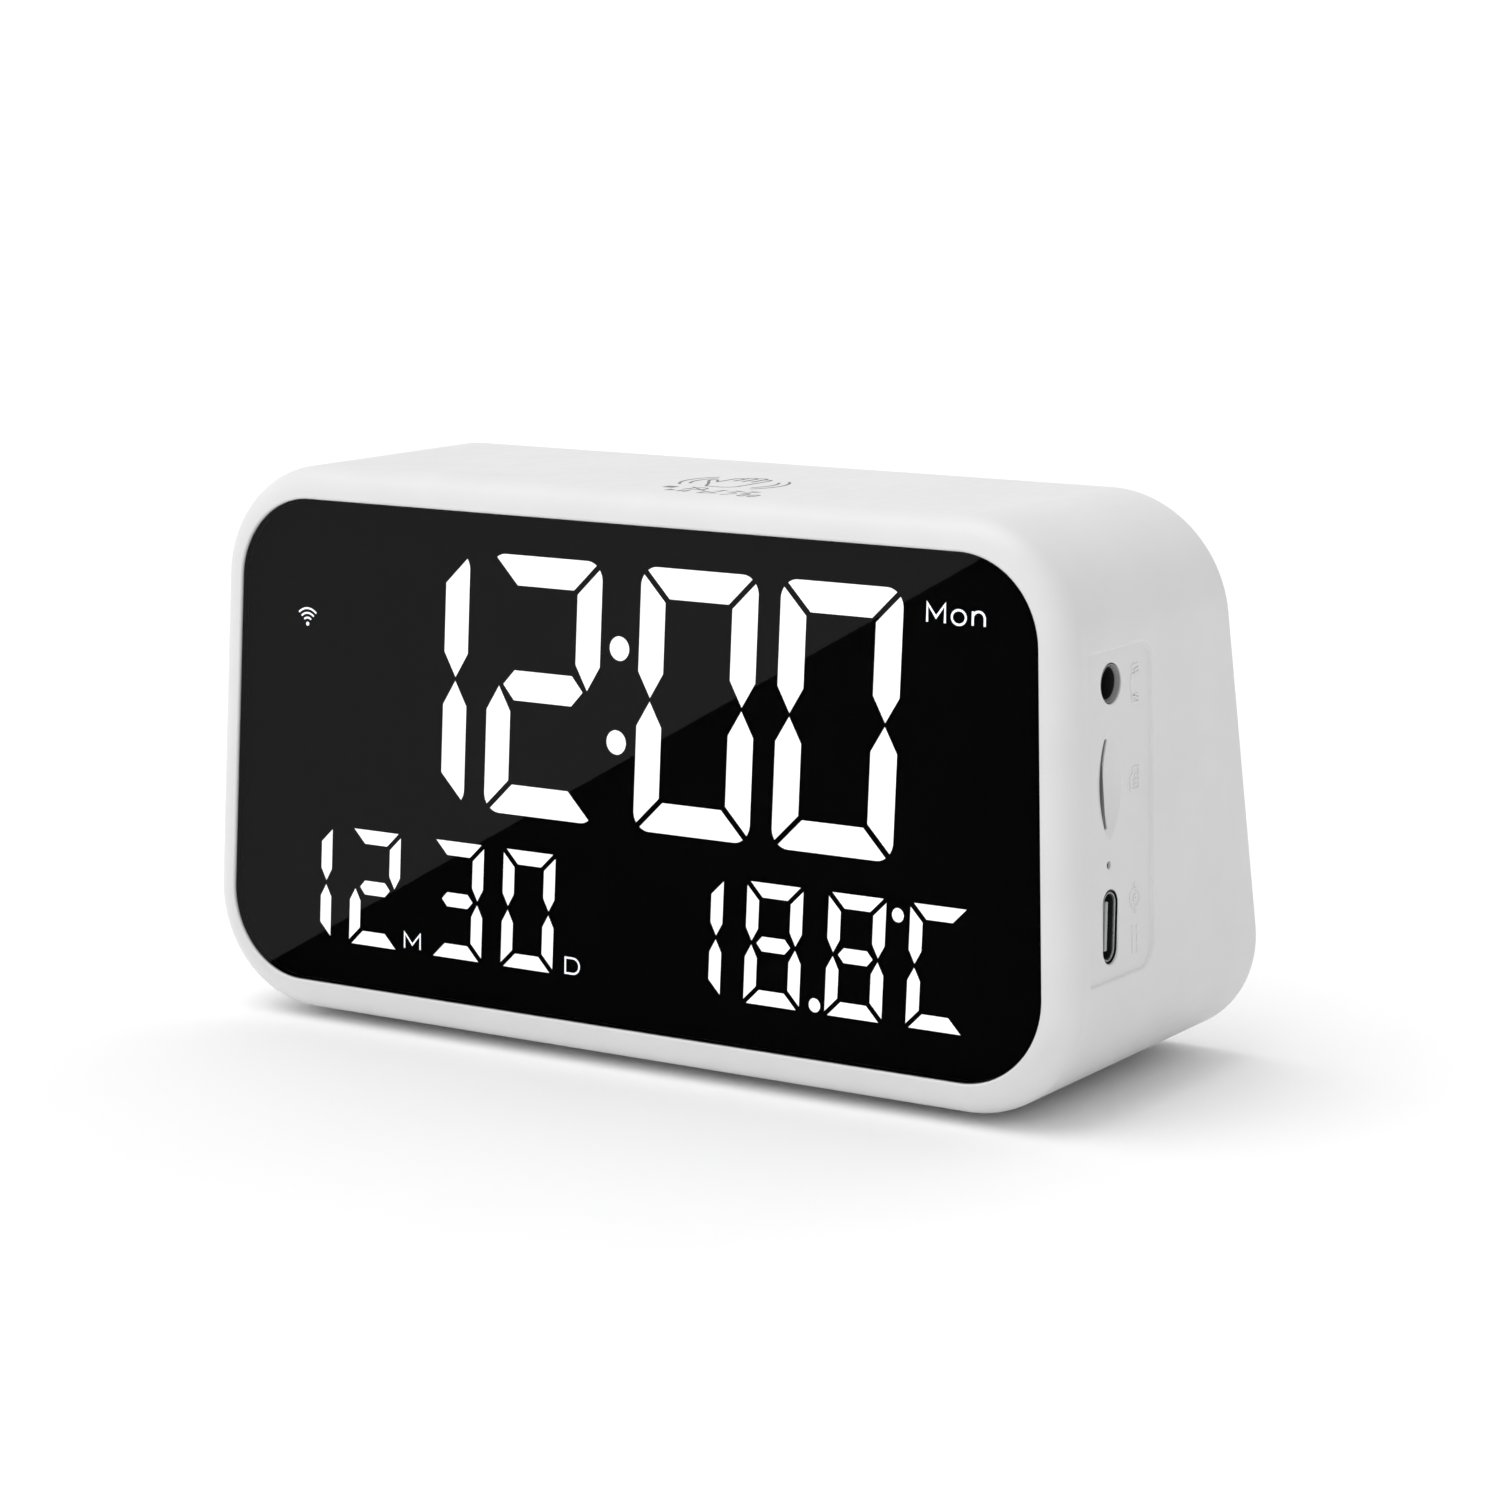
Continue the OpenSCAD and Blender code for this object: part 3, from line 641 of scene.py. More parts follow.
def end_wall(corners):
    """A function for x on the right-hand end wall at (y, z), from its front and rear corners."""
    (f0, f1), (r0, r1) = corners

    def along(a, b, z):
        t = (z - a.z) / (b.z - a.z)
        return a.x + (b.x - a.x) * t, a.y + (b.y - a.y) * t

    def surface(y, z):
        xf, yf = along(f0, f1, z)
        xr, yr = along(r0, r1, z)
        return xf + (xr - xf) * (y - yf) / (yr - yf)

    return surface


def on_end(points):
    """(depth, height) points in the face's frame as (y, z) points in the base's frame."""
    c, s = math.cos(FACE_LEAN), math.sin(FACE_LEAN)
    return [(d * c + v * s, v * c - d * s) for d, v in points]


def recess_outline(grow):
    """The port panel in (y, z): sharp at its front, where it meets the roll, and rounded at the rear."""
    rear, front = RECESS_R + grow, 0.5 + grow
    x0, x1 = RECESS_FRONT - grow, RECESS_REAR + grow
    y0, y1 = RECESS_LOW - grow, RECESS_HIGH + grow
    corners = (
        arc(x1 - rear, y0 + rear, rear, -90, 0, 12)
        + arc(x1 - rear, y1 - rear, rear, 0, 90, 12)
        + arc(x0 + front, y1 - front, front, 90, 180, 5)
        + arc(x0 + front, y0 + front, front, 180, 270, 5)
    )
    return [(y + z * math.tan(FACE_LEAN), z) for y, z in corners]


SCOOP_D = 10.85
SCOOP_V = 42.6
SCOOP_HALF_W = 3.0
SCOOP_HALF_L = 7.0
SCOOP_DEPTH = 1.0


def scoop_width(v):
    t = (v - SCOOP_V) / SCOOP_HALF_L
    return SCOOP_HALF_W * max(1 - t * t, 0.0) ** 0.8


def scoop_depth(d, v):
    """Depth of the finger scoop across the card slot."""
    w = scoop_width(v)
    if w < 1e-6:
        return 0.0
    t = (v - SCOOP_V) / SCOOP_HALF_L
    return SCOOP_DEPTH * (1 - t * t) * max(1 - ((d - SCOOP_D) / w) ** 2, 0.0)


EDGE_SPREAD = 1.6  # how much wider than deep the rounding of the panel's edge is

# Each opening in the port panel: its outline for a growth, and the radius of its edge
OPENINGS = [
    (lambda g: circle(2.6 + g, 48, (JACK_D, JACK_V)), 0.16),
    (lambda g: finer(round_box(1.0 + 2 * g, CARD_LEN + 2 * g, 0.2 + g, (CARD_D, CARD_V), 5), 0.5), 0.08),
    (lambda g: circle(0.5 + g, 20, (MIC_D, MIC_V)), 0.14),
    (lambda g: stadium(9.5, 3.8, g, (POWER_D, POWER_V)), 0.2),
]
CARD_OPENING = 1
MIC_OPENING = 2


def build_case():
    shell = Shell()
    ledge = ((WINDOW_INSET, LEDGE_BACK), (WINDOW_INSET, LEDGE_FRONT), (ROLL_W, LEDGE_FRONT))
    window = [face_ring(*at) for at in ledge]
    rim = [face_ring(ROLL_W - RIM_R * x, RIM_R * y) for x, y in quarter()]
    roll = [
        face_ring(ROLL_W * (1 - math.sin(a)), ROLL_D * (1 - math.cos(a)))
        for a in [math.radians(5 * k) for k in range(1, 19)]
    ]
    front, rear = roll[-1], rear_ring(0)
    length = BASE_D - ROLL_D
    walls = [between(front, rear, t) for t in (SUPPORT / length, 1 - (REAR_R + SUPPORT) / length)]
    tail = []
    for x, y in quarter():
        side = between(front, rear, 1 - REAR_R * y / length)
        tail.append([p + (q - r) for p, q, r in zip(side, rear_ring(REAR_R * x), rear)])
    inner_front, inner_rear = face_ring(WALL, LEDGE_BACK), rear_ring(WALL)
    shares = (1 - SUPPORT / length, SUPPORT / length)
    inside = [inner_rear, *(between(inner_front, inner_rear, t) for t in shares), inner_front]
    rings = window + rim + roll + walls + tail + inside + window[:1]
    k_out = len(window + rim + roll)
    k_in = k_out + len(walls + tail) + 1
    shell.skin(rings, skip={(k_out, RIGHT_EDGE), (k_in, RIGHT_EDGE)})

    def corners(k):
        a, b = rings[k], rings[k + 1]
        pairs = (a[RIGHT_EDGE], a[RIGHT_EDGE + 1]), (b[RIGHT_EDGE], b[RIGHT_EDGE + 1])
        return pairs if a[RIGHT_EDGE].y < b[RIGHT_EDGE].y else pairs[::-1]

    outer, inner = corners(k_out), corners(k_in)
    outside, within = end_wall(outer), end_wall(inner)

    def border(c):
        return [(p.y, p.z) for p in (c[0][0], c[1][0], c[1][1], c[0][1])]

    def at_depth(y, z, depth):
        return Vector((outside(y, z) - depth, y, z))

    def floor_depth(y, z):
        c, s = math.cos(FACE_LEAN), math.sin(FACE_LEAN)
        return RECESS + scoop_depth(y * c - z * s, z * c + y * s)

    edge = RECESS / 2
    lip = [(EDGE_SPREAD * edge * y, edge * x) for x, y in quarter()]
    foot = [(-EDGE_SPREAD * edge * x, RECESS - edge * y) for x, y in quarter()]
    profile = lip + foot[1:]
    pocket = [[at_depth(y, z, d) for y, z in recess_outline(g)] for g, d in profile]
    shell.skin(pocket)
    brim, support = recess_outline(lip[0][0]), recess_outline(lip[0][0] + 0.5 * SUPPORT)
    shell.sheet(border(outer), [brim], lambda y, z: at_depth(y, z, 0), lines=[support])

    tops, bottoms, supports = [], [], []
    for shape, r in OPENINGS:
        rounded = [(r * y, r * x) for x, y in quarter()]
        rings = []
        for g, d in rounded:
            rings.append([at_depth(y, z, floor_depth(y, z) + d) for y, z in on_end(shape(g))])
        tops.append(on_end(shape(rounded[0][0])))
        bottoms.append(on_end(shape(0)))
        supports.append(on_end(shape(rounded[0][0] + SUPPORT)))
        rings.append([Vector((within(y, z), y, z)) for y, z in bottoms[-1]])
        shell.skin(rings)
    shell.sheet(border(inner), bottoms, lambda y, z: Vector((within(y, z), y, z)))

    spine = [SCOOP_V + SCOOP_HALF_L * math.sin(math.radians(a)) for a in range(-87, 88, 6)]
    scoop_edge = [(SCOOP_D + scoop_width(v), v) for v in spine]
    scoop_edge += [(SCOOP_D - scoop_width(v), v) for v in spine[::-1]]
    inner_points = []
    for v in spine:
        for k in range(-7, 8):
            d = SCOOP_D + scoop_width(v) * k / 8
            if abs(d - CARD_D) > 0.7 or abs(v - CARD_V) > CARD_LEN / 2 + 0.3:
                inner_points.append((d, v))
    shell.sheet(
        recess_outline(profile[-1][0]),
        tops,
        lambda y, z: at_depth(y, z, floor_depth(y, z)),
        lines=[
            on_end(scoop_edge),
            recess_outline(profile[-1][0] - SUPPORT),
            *(s for k, s in enumerate(supports) if k != CARD_OPENING),
        ],
        inner=on_end(inner_points),
    )
    shell.make("case_shell", BASE, WHITE, ["housing"], sharp=22)

    # Dark plugs sunk into the card slit and the mic hole are painted shade: they stand in for the shade
    # deep inside these openings, whose walls are white.
    shade_plugs = (("card_slit_shade_plug", CARD_OPENING, 0.25, SLIT_SHADE_GREY), ("mic_hole_shade_plug", MIC_OPENING, 0.45, SOCKET_BLACK))
    for name, opening, sink, paint in shade_plugs:
        plug = Shell()
        edge = on_end(OPENINGS[opening][0](-0.02))
        plug.solid([[at_depth(y, z, floor_depth(y, z) + sink + d) for y, z in edge] for d in (0, 0.5)])
        plug.make(name, BASE, paint)


build_case()


def cover_screw_places():
    return [(side * (end_x(v) - SCREW_EDGE), v) for side in (-1, 1) for v in (SCREW_V, REAR_H - SCREW_V)]


def build_posts():
    """Bosses inside the case that take the cover screws and the display board."""
    shell = Shell()
    post = [(1.1, 0), (3.0, 0), (3.2, -0.2), (3.2, -12), (1.1, -12)]
    for x, v in cover_screw_places():
        shell.lathe([(r, COVER_IN + d) for r, d in post], around(x, v, REAR_IN_BASE), 32)
    start = LEDGE_BACK - 0.2
    stub = [(0.8, start), (2.2, start), (2.2, BOARD_FRONT), (0.8, BOARD_FRONT)]
    for side in (-1, 1):
        for v in (13, 64):
            shell.lathe(stub, around(side * (end_x(v) - 5.1), v, FACE_IN_BASE), 32)
    shell.make("case_posts", BASE, WHITE)


build_posts()

# ---- the display

MASK_FRONT = 2.25
MASK_BACK = 2.28
GLYPH_RISE = 0.02


def on_print(x, v, up):
    """Place on the black print behind the window, standing out of it towards the front."""
    return Vector((x, MASK_FRONT - up, v))


def build_window():
    shell = Shell()
    bevel = 0.05
    edge = ROLL_W + 0.1
    profile = ((edge + bevel, LENS_SET), (edge, LENS_SET + bevel), (edge, LENS_BACK))
    shell.solid([pane_ring(inset, depth) for inset, depth in profile])
    shell.make("display_window", FACE, SMOKED, ["display_lens"])


def seven_bars(w, h, bar, gap, slit, corner):
    """Outlines of the bars a to g about the digit's middle, with its outer corners rounded."""
    x, y = w / 2, h / 2
    shoulder = 0.8 * bar + gap / 2
    half_gap = math.degrees(math.asin(slit / math.sqrt(2) / corner))
    right = arc(x - corner, y - corner, corner, 90, 45 + half_gap, 6)
    left = [(-a, b) for a, b in right][::-1]
    top = left + right + [(x - bar - slit, y - bar), (-x + bar + slit, y - bar)]
    flank = arc(x - corner, y - corner, corner, 45 - half_gap, 0, 6)
    side = flank + [(x, shoulder), (x - bar / 2, gap / 5), (x - bar, shoulder), (x - bar, y - bar - slit)]
    tip = x - bar / 2 - gap
    nose = tip - 0.45 * bar
    half = bar / 2
    middle = fillet([(-tip, 0), (-nose, half), (nose, half), (tip, 0), (nose, -half), (-nose, -half)], 0.15)
    over = [[(a, -b) for a, b in top], [(a, -b) for a, b in side]]
    across = [[(-a, b) for a, b in side], [(-a, -b) for a, b in side]]
    return dict(zip("abcdefg", (top, side, over[1], over[0], across[1], across[0], middle)))


TIME = {"w": 18.6, "h": 35.1, "bar": 4.1, "gap": 0.6, "slit": 0.5, "corner": 2.6}
SMALL = {"w": 8.8, "h": 16.2, "bar": 2.0, "gap": 0.7, "slit": 0.42, "corner": 0.6}
TIME_V = 48.7
SMALL_V = 18.35

DATE = [(-53.4, "bc"), (-41.4, "abdeg"), (-27.1, "abcdg"), (-15.1, "abcdef")]
WARMTH = [(12.1, "bc"), (24.5, "abcdefg"), (37.1, "abcdefg"), (49.4, "adef")]
POINTS = [((31.0, 11.3), 0.95), ((43.4, 24.55), 0.95)]

# Each group of lit digits: its mesh, its CAD node, (x, lit bars) pairs, size, height and dots
DIGIT_GROUPS = [
    ("hour_bars", "hour_segments", [(-34.8, "bc"), (-12.9, "abdeg")], TIME, TIME_V, []),
    ("minute_bars", "minute_segments", [(11.8, "abcdef"), (33.7, "abcdef")], TIME, TIME_V, []),
    ("colon_lights", "colon_dots", [], TIME, TIME_V, [((-0.8, 42.55), 1.65), ((-0.4, 55.05), 1.65)]),
    ("date_bars", "date_segments", DATE, SMALL, SMALL_V, []),
    ("temperature_bars", "temperature_segments", WARMTH, SMALL, SMALL_V, POINTS),
]


def lit_outlines(digits, size, v, dots):
    """Outlines of the lit bars and dots of one group."""
    shapes = seven_bars(**size)
    outlines = []
    for x, lit in digits:
        for bar in lit:
            outlines.append([(x + a + b * DIGIT_SLANT, v + b) for a, b in shapes[bar]])
    return outlines + [circle(r, 32, at) for at, r in dots]


def build_digits():
    """Light guides for the lit bars, and the black print, with an inked edge, that they shine through."""
    holes = []
    for name, stands_for, *group in DIGIT_GROUPS:
        shell = Shell()
        for flat in lit_outlines(*group):
            shell.prism(flat, around(0, 0), BAR_BACK, BAR_FRONT, 0.04)
            holes.append(flat)
        shell.make(name, FACE, LIT, [stands_for])
    print_edge = outline(ROLL_W + 0.2, FACE_H)
    mask = Shell()
    for depth in (MASK_FRONT, MASK_BACK):
        mask.sheet(print_edge, holes, lambda x, v: Vector((x, depth, v)))
    for loop in [print_edge, *holes]:
        mask.skin([[Vector((x, depth, v)) for x, v in loop] for depth in (MASK_FRONT, MASK_BACK)])
    insets = (ROLL_W + 0.14, ROLL_W + 0.18)
    front, back = LENS_SET + 0.08, MASK_FRONT - 0.02
    edge = [(insets[0], front), (insets[0], back), (insets[1], back), (insets[1], front)]
    mask.skin([pane_ring(inset, depth) for inset, depth in [*edge, edge[0]]])
    mask.make("window_print", FACE, MASK)


build_window()
build_digits()


def letter_m(x, v, w, h):
    """The lines of a letter, each with whether it closes on itself."""
    return [([(x, v), (x, v + h), (x + w / 2, v + h * 0.28), (x + w, v + h), (x + w, v)], False)]


def letter_d(x, v, w, h):
    bowl = arc(x + w - h / 2, v + h / 2, h / 2, -90, 90, 14)
    return [([(x, v), *bowl, (x, v + h)], True)]


def letter_o(x, v, w, h):
    return [([(x + w / 2 * (1 + a), v + h / 2 * (1 + b)) for a, b in circle(1, 24)], True)]


def letter_n(x, v, w, h):
    arch = arc(x + w / 2, v + h - w / 2, w / 2, 180, 0, 12)
    return [([(x, v), (x, v + h)], False), ([*arch, (x + w, v)], False)]


def build_glyphs():
    """Lit marks beside the digits: weekday, month and day marks, and a wireless sign."""
    marks = [
        (letter_m(46.95, 62.35, 2.6, 2.35), 0.36),
        (letter_o(50.55, 62.3, 2.05, 1.85), 0.34),
        (letter_n(53.6, 62.35, 1.75, 1.8), 0.36),
        (letter_m(-36.1, 10.75, 2.7, 2.15), 0.3),
        (letter_d(-8.75, 10.65, 2.3, 2.1), 0.3),
    ]
    shell = Shell()
    for lines, width in marks:
        for points, closed in lines:
            shell.stroke(points, width, on_print, GLYPH_RISE, closed)
    fan_x, fan_v = -53.2, 54.2
    shell.prism(circle(0.28, 16, (fan_x, fan_v)), on_print, -GLYPH_RISE, GLYPH_RISE, 0.005)
    for r in (0.85, 1.5, 2.15):
        shell.stroke(arc(fan_x, fan_v, r, 45, 135, 12), 0.3, on_print, GLYPH_RISE)
    shell.make("status_glyphs", FACE, LIT_SMALL)


build_glyphs()

# ---- sockets in the right-hand end


def along_end(d, v, surface_x):
    """Place on an axis that runs inwards from the end wall at depth d and height v of the face."""
    return lambda a, b, inwards: Vector((surface_x - inwards, d + a, v + b))


def build_jack():
    shell = Shell()
    place = along_end(JACK_D, JACK_V, end_x(JACK_V) - RECESS - 0.1)
    bore = [(0, 12.6), (1.75, 12.6), (1.75, 3.2), (1.8, 3.0), (1.8, 1.7), (2.05, 0.6)]
    outside = [(2.46, 0.6), (2.46, 2.3), (3.0, 2.3), (3.0, 14.0), (0, 14.0)]
    shell.lathe(bore + outside, place, 64)
    shell.make("jack_body", FACE, SOCKET_BLACK, ["audio_jack"])
    mouth = Shell()
    rim = [(2.34, 0.07), (2.38, 0.02), (2.42, 0.02), (2.46, 0.08)]
    mouth.lathe([(2.05, 0.6), (2.07, 0.5), *rim, (2.46, 0.6)], place, 64)
    mouth.make("jack_mouth", FACE, JACK_GREY)
    ring = Shell()
    ring.lathe([(1.74, 3.4), (1.5, 3.9), (1.5, 5.2), (1.74, 5.7)], place, 48)
    ring.make("jack_ring", FACE, GOLD)


def build_power_socket():
    place = along_end(POWER_D, POWER_V, end_x(POWER_V) - RECESS - 0.3)

    def rings(profile):
        """The shell's outline, grown and set inwards by each pair of the profile."""
        return [[place(a, b, inwards) for a, b in stadium(8.94, 3.26, grow)] for grow, inwards in profile]

    shell = Shell()
    inside = [(-0.22, 6.2), (-0.22, 0.12), (-0.19, 0.03), (-0.14, 0.0)]
    shell.solid(rings(inside + [(-0.08, 0.0), (-0.03, 0.03), (0.0, 0.12), (0.0, 7.3)]))
    shell.make("power_shell", FACE, TIN, ["power_socket_shell"])

    lining = Shell()
    for profile in (
        [(-0.22, 0.2), (-0.3, 0.25), (-0.3, 6.1), (-0.22, 6.1)],
        [(0.0, 0.2), (0.24, 0.2), (0.24, -0.14), (0.265, -0.14), (0.265, 1.2), (0.0, 1.2)],
    ):
        lining.skin(rings([*profile, profile[0]]))
    lining.cap(rings([(-0.3, 6.1)])[0])
    lining.make("power_lining", FACE, SOCKET_BLACK)

    tongue = Shell()
    root, blade, tip = round_box(1.8, 6.6, 0.3), round_box(0.7, 6.4, 0.2), round_box(0.55, 6.25, 0.12)
    steps = ((root, 6.2), (root, 5.4), (blade, 5.35), (blade, 0.5), (tip, 0.35))
    tongue.solid([[place(a, b, inwards) for a, b in flat] for flat, inwards in steps])
    tongue.make("power_tongue", FACE, TONGUE_GREY, ["power_socket_tongue"])

    pads = Shell()
    for k in range(12):
        for face in (-1, 1):
            pad = round_box(0.26, 2.2, 0.05, ((k - 5.5) * 0.5, 0))
            pads.prism(pad, lambda a, b, h: place(face * h, a, 3.2 + b), 0.34, 0.38, 0.01)
    pads.make("power_contacts", FACE, GOLD)


build_jack()
build_power_socket()


def on_panel(d, v, up):
    """Place on the floor of the port panel, standing out by up."""
    return Vector((end_x(v) - RECESS + up, d, v))


def build_port_marks():
    """Raised generic signs beside the sockets: headphones, a card, and direct current."""
    shell = Shell()
    d, width, rise = 17.2, 0.36, 0.15

    def line(points, closed=False):
        shell.stroke(points, width, on_panel, rise, closed)

    middle = JACK_V - 0.6
    line(arc(d + 1.1, middle, 1.9, 90, 270, 15))
    for side in (-1, 1):
        line(round_box(1.6, 1.0, 0.25, (d + 0.4, middle + side * 1.9)), True)
    card = [(-1.0, -1.4), (1.1, -1.4), (1.1, 1.4), (-0.3, 1.4), (-0.3, 0.7), (-1.0, 0.2)]
    line([(d + a, CARD_V + b) for a, b in card], True)
    for k in range(3):
        line([(d - 0.1, CARD_V - 0.8 + 0.6 * k), (d + 0.6, CARD_V - 0.8 + 0.6 * k)])
    low = POWER_V - 4.2
    line([(d - 0.7, low), (d - 0.7, low + 3.6)])
    for k in range(3):
        line([(d + 0.5, low + 1.35 * k), (d + 0.5, low + 0.9 + 1.35 * k)])
    hub = (d - 0.05, POWER_V + 2.9)
    line(circle(1.25, 28, hub), True)
    line(circle(0.28, 14, hub), True)
    for inner, outer in ((1.25, 2.1), (-1.25, -2.0)):
        line([(hub[0], hub[1] + inner), (hub[0], hub[1] + outer)])
    shell.make("port_marks", FACE, WHITE)


build_port_marks()

# ---- the printed signs on top


def on_top(x, s, up):
    """Place on the flat top, s behind the roll's end."""
    return Vector((x, TOP_Y + s * math.cos(TOP_FALL), TOP_Z - s * math.sin(TOP_FALL) + up))


def build_top_print():
    """Printed generic signs: a palm with sound arcs, a row for silencing, and a row for playing."""
    shell = Shell()
    bold, fine, rise = 0.48, 0.4, 0.015

    def line(points, closed=False, width=fine):
        shell.stroke(points, width, on_top, rise, closed)

    def solid(points):
        shell.prism(points, on_top, -0.02, rise, 0.01)

    # the palm about (hx, hs), drawn from its wrist round the thumb and the fingers
    hx, hs = 7.6, 12.0
    finger, heights = 1.35, (4.9, 6.0, 6.2, 5.2)
    palm = [(hx - 2.7, hs - 2.2), (hx - 4.7, hs + 0.9)]
    palm += arc(hx - 4.2, hs + 1.35, 0.55, 200, 60, 5)
    palm += [(hx - 2.7, hs - 0.1), (hx - 2.7, hs + 0.3)]
    for k, height in enumerate(heights):
        left = hx - 2.7 + k * finger
        palm += arc(left + finger / 2, hs + height - finger / 2, finger / 2, 180, 0, 8)
        palm += [(left + finger, hs + 1.9)] if k < 3 else []
    palm += [(hx + 2.7, hs - 1.6)]
    palm += arc(hx + 0.9, hs - 3.0, 1.8, 20, -90, 8)
    palm += [(hx - 1.3, hs - 4.8)]
    line(palm, closed=True, width=bold)
    for side in (0, 180):
        for r, wide in ((5.9, 34), (7.3, 40)):
            line(arc(hx, hs, r, side - wide, side + wide, 14), width=bold)

    row = 4.0
    solid(round_box(1.7, 1.7, 0.15, (2.9, row)))
    bx = 7.3
    bell = [(bx - 1.5, row - 0.9), (bx - 1.1, row - 0.4), *arc(bx, row + 0.2, 1.1, 180, 0, 10)]
    line([*bell, (bx + 1.1, row - 0.4), (bx + 1.5, row - 0.9)], True)
    line([(bx - 1.8, row + 1.4), (bx + 1.8, row - 1.4)])
    for k, size in enumerate((0.8, 1.05, 1.35)):
        x, low = 11.2 + 2.2 * k, row - 1.0
        high = low + size * 1.5
        line([(x - size / 2, high), (x + size / 2, high), (x - size / 2, low), (x + size / 2, low)])

    row = 1.2
    solid([(4.3, row - 0.8), (5.7, row), (4.3, row + 0.8)])
    for x in (6.4, 7.3):
        solid(round_box(0.5, 1.6, 0.08, (x, row)))
    line([(9.8, row - 1.0), (12.0, row), (9.8, row + 1.0)], True)
    line([(13.4, row - 1.15), (14.5, row + 1.15)])
    for x in (16.3, 17.9):
        line(round_box(0.75, 2.0, 0.15, (x, row), 2), True)
    shell.make("top_print", BASE, PRINT)


build_top_print()

# ---- the rear cover


def cover_ring(inset, out):
    """The cover's outline at a distance out of the rear face, following the taper inside the case."""
    in_rear = REAR_IN_BASE.inverted()
    ring = []
    for back, ahead in zip(rear_ring(inset), face_ring(inset, LEDGE_BACK)):
        b, a = in_rear @ back, in_rear @ ahead
        ring.append(b.lerp(a, out / a.y))
    return ring


def on_cover(out):
    return lambda x, v: Vector((x, out, v))


def grille_places():
    places = [(0.0, SPEAKER_V)]
    for ring in range(1, 5):
        places += circle(ring * GRILLE_PITCH, 6 * ring, (0, SPEAKER_V))
    return places


button_x = [sum(p.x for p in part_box(f"button_{k}")) / 2 / MM for k in range(1, 6)]


def build_cover():
    shell = Shell()
    soft = 0.25
    edge = [cover_ring(COVER_INSET + soft * x, COVER_OUT - soft * y) for x, y in quarter(4)[::-1]]
    hem = ((0, COVER_IN - COVER_LIP), (1.8, COVER_IN - COVER_LIP), (1.8, COVER_IN))
    rings = edge + [cover_ring(COVER_INSET + inset, out) for inset, out in hem]
    shell.skin(rings)
    outer = [(p.x, p.z) for p in rings[0]]
    inner = [(p.x, p.z) for p in rings[-1]]
    support = cover_ring(COVER_INSET + soft + SUPPORT, COVER_OUT)
    tops, ends, supports = [], [], [[(p.x, p.z) for p in support]]

    def opening(at, r, lip, steps, floor=None, bore=None):
        """A round hole with a rounded edge, and a counterbore's floor where it has one."""
        tops.append(circle(r + lip, steps, at))
        supports.append(circle(r + lip + SUPPORT, steps, at))
        profile = [(r + lip * c, COVER_OUT - lip * b) for b, c in quarter(4)]
        if floor:
            profile += [(r, floor), (bore, floor)]
        last = bore or r
        ends.append(circle(last, steps, at))
        profile.append((last, COVER_IN))
        shell.skin([[(x, d, v) for x, v in circle(q, steps, at)] for q, d in profile])

    for at in grille_places():
        opening(at, GRILLE_R, 0.25, 24)
    for x in button_x:
        opening((x, BUTTON_V), BUTTON_R + BUTTON_GAP, 0.3, 48)
    for at in cover_screw_places():
        opening(at, 2.8, 0.2, 40, floor=COVER_OUT - SCREW_SINK, bore=1.5)
    shell.sheet(outer, tops, on_cover(COVER_OUT), lines=supports)
    shell.sheet(inner, ends, on_cover(COVER_IN))
    for x, v, r, bore, length in [
        *[(sx * EAR, SPEAKER_V + sv * EAR, 2.4, 0.8, 3.0) for sx in (-1, 1) for sv in (-1, 1)],
        *[(sx * 33.2, BUTTON_V, 2.2, 0.8, 7.1) for sx in (-1, 1)],
    ]:
        tube = [(bore, COVER_IN), (r, COVER_IN), (r, COVER_IN - length), (bore, COVER_IN - length)]
        shell.lathe(tube, around(x, v), 32)
    shell.make("rear_panel", REAR, REAR_WHITE, ["rear_cover"], sharp=22)


build_cover()


def button_sign(shell, k, place):
    """A raised generic sign for button k: bell, minus, play, plus, or a sun."""
    wide, rise = 0.34, 0.1

    def line(points, closed=False):
        shell.stroke(points, wide, place, rise, closed)

    if k == 1:
        line([(-1.5, -0.9), *arc(0, 0.3, 1.05, 180, 0, 10), (1.5, -0.9)], True)
        line(arc(0, -1.1, 0.45, 200, 340, 6))
    elif k in (2, 4):
        line([(-1.5, 0), (1.5, 0)])
        if k == 4:
            line([(0, -1.5), (0, 1.5)])
    elif k == 3:
        line([(-0.9, -1.3), (1.3, 0), (-0.9, 1.3)], True)
    else:
        line(circle(0.7, 20), True)
        for a in range(0, 360, 45):
            c, s = math.cos(math.radians(a)), math.sin(math.radians(a))
            line([(1.1 * c, 1.1 * s), (1.7 * c, 1.7 * s)])


def build_buttons():
    top = BUTTON_TOP
    dish = [(0, -0.28), (1.2, -0.25), (2.3, -0.12), (2.9, -0.02), (3.2, 0)]
    crown = [(3.45, -0.03), (3.68, -0.14), (3.78, -0.3), (3.8, -0.5)]
    skirt = [(3.8, -0.3), (4.4, -0.3), (4.4, -1.1), (1.6, -1.1), (1.6, -2.6), (0, -2.6)]
    profile = [(r, top + d) for r, d in dish + crown] + [(r, COVER_IN + d) for r, d in skirt]
    for k, x in enumerate(button_x, 1):
        body = f"push_button_{k}"
        cap = Shell()
        cap.lathe(profile, around(x, BUTTON_V), 56)
        cap.make(f"button_cap_{k}", REAR, BUTTON_WHITE, [f"button_{k}"], body)

        def on_dish(a, b, up):
            return Vector((x - a, top - 0.28 + 0.022 * (a * a + b * b) + up, BUTTON_V + b))

        sign = Shell()
        button_sign(sign, k, on_dish)
        sign.make(f"button_sign_{k}", REAR, PRINT, body=body)


build_buttons()


def cross(arm, width):
    """Outline of a cross recess."""
    w = width / 2
    quarter_turn = [(w, w), (w, arm), (-w, arm)]
    points = []
    for k in range(4):
        c, s = math.cos(k * math.pi / 2), math.sin(k * math.pi / 2)
        points += [(a * c - b * s, a * s + b * c) for a, b in quarter_turn]
    return points


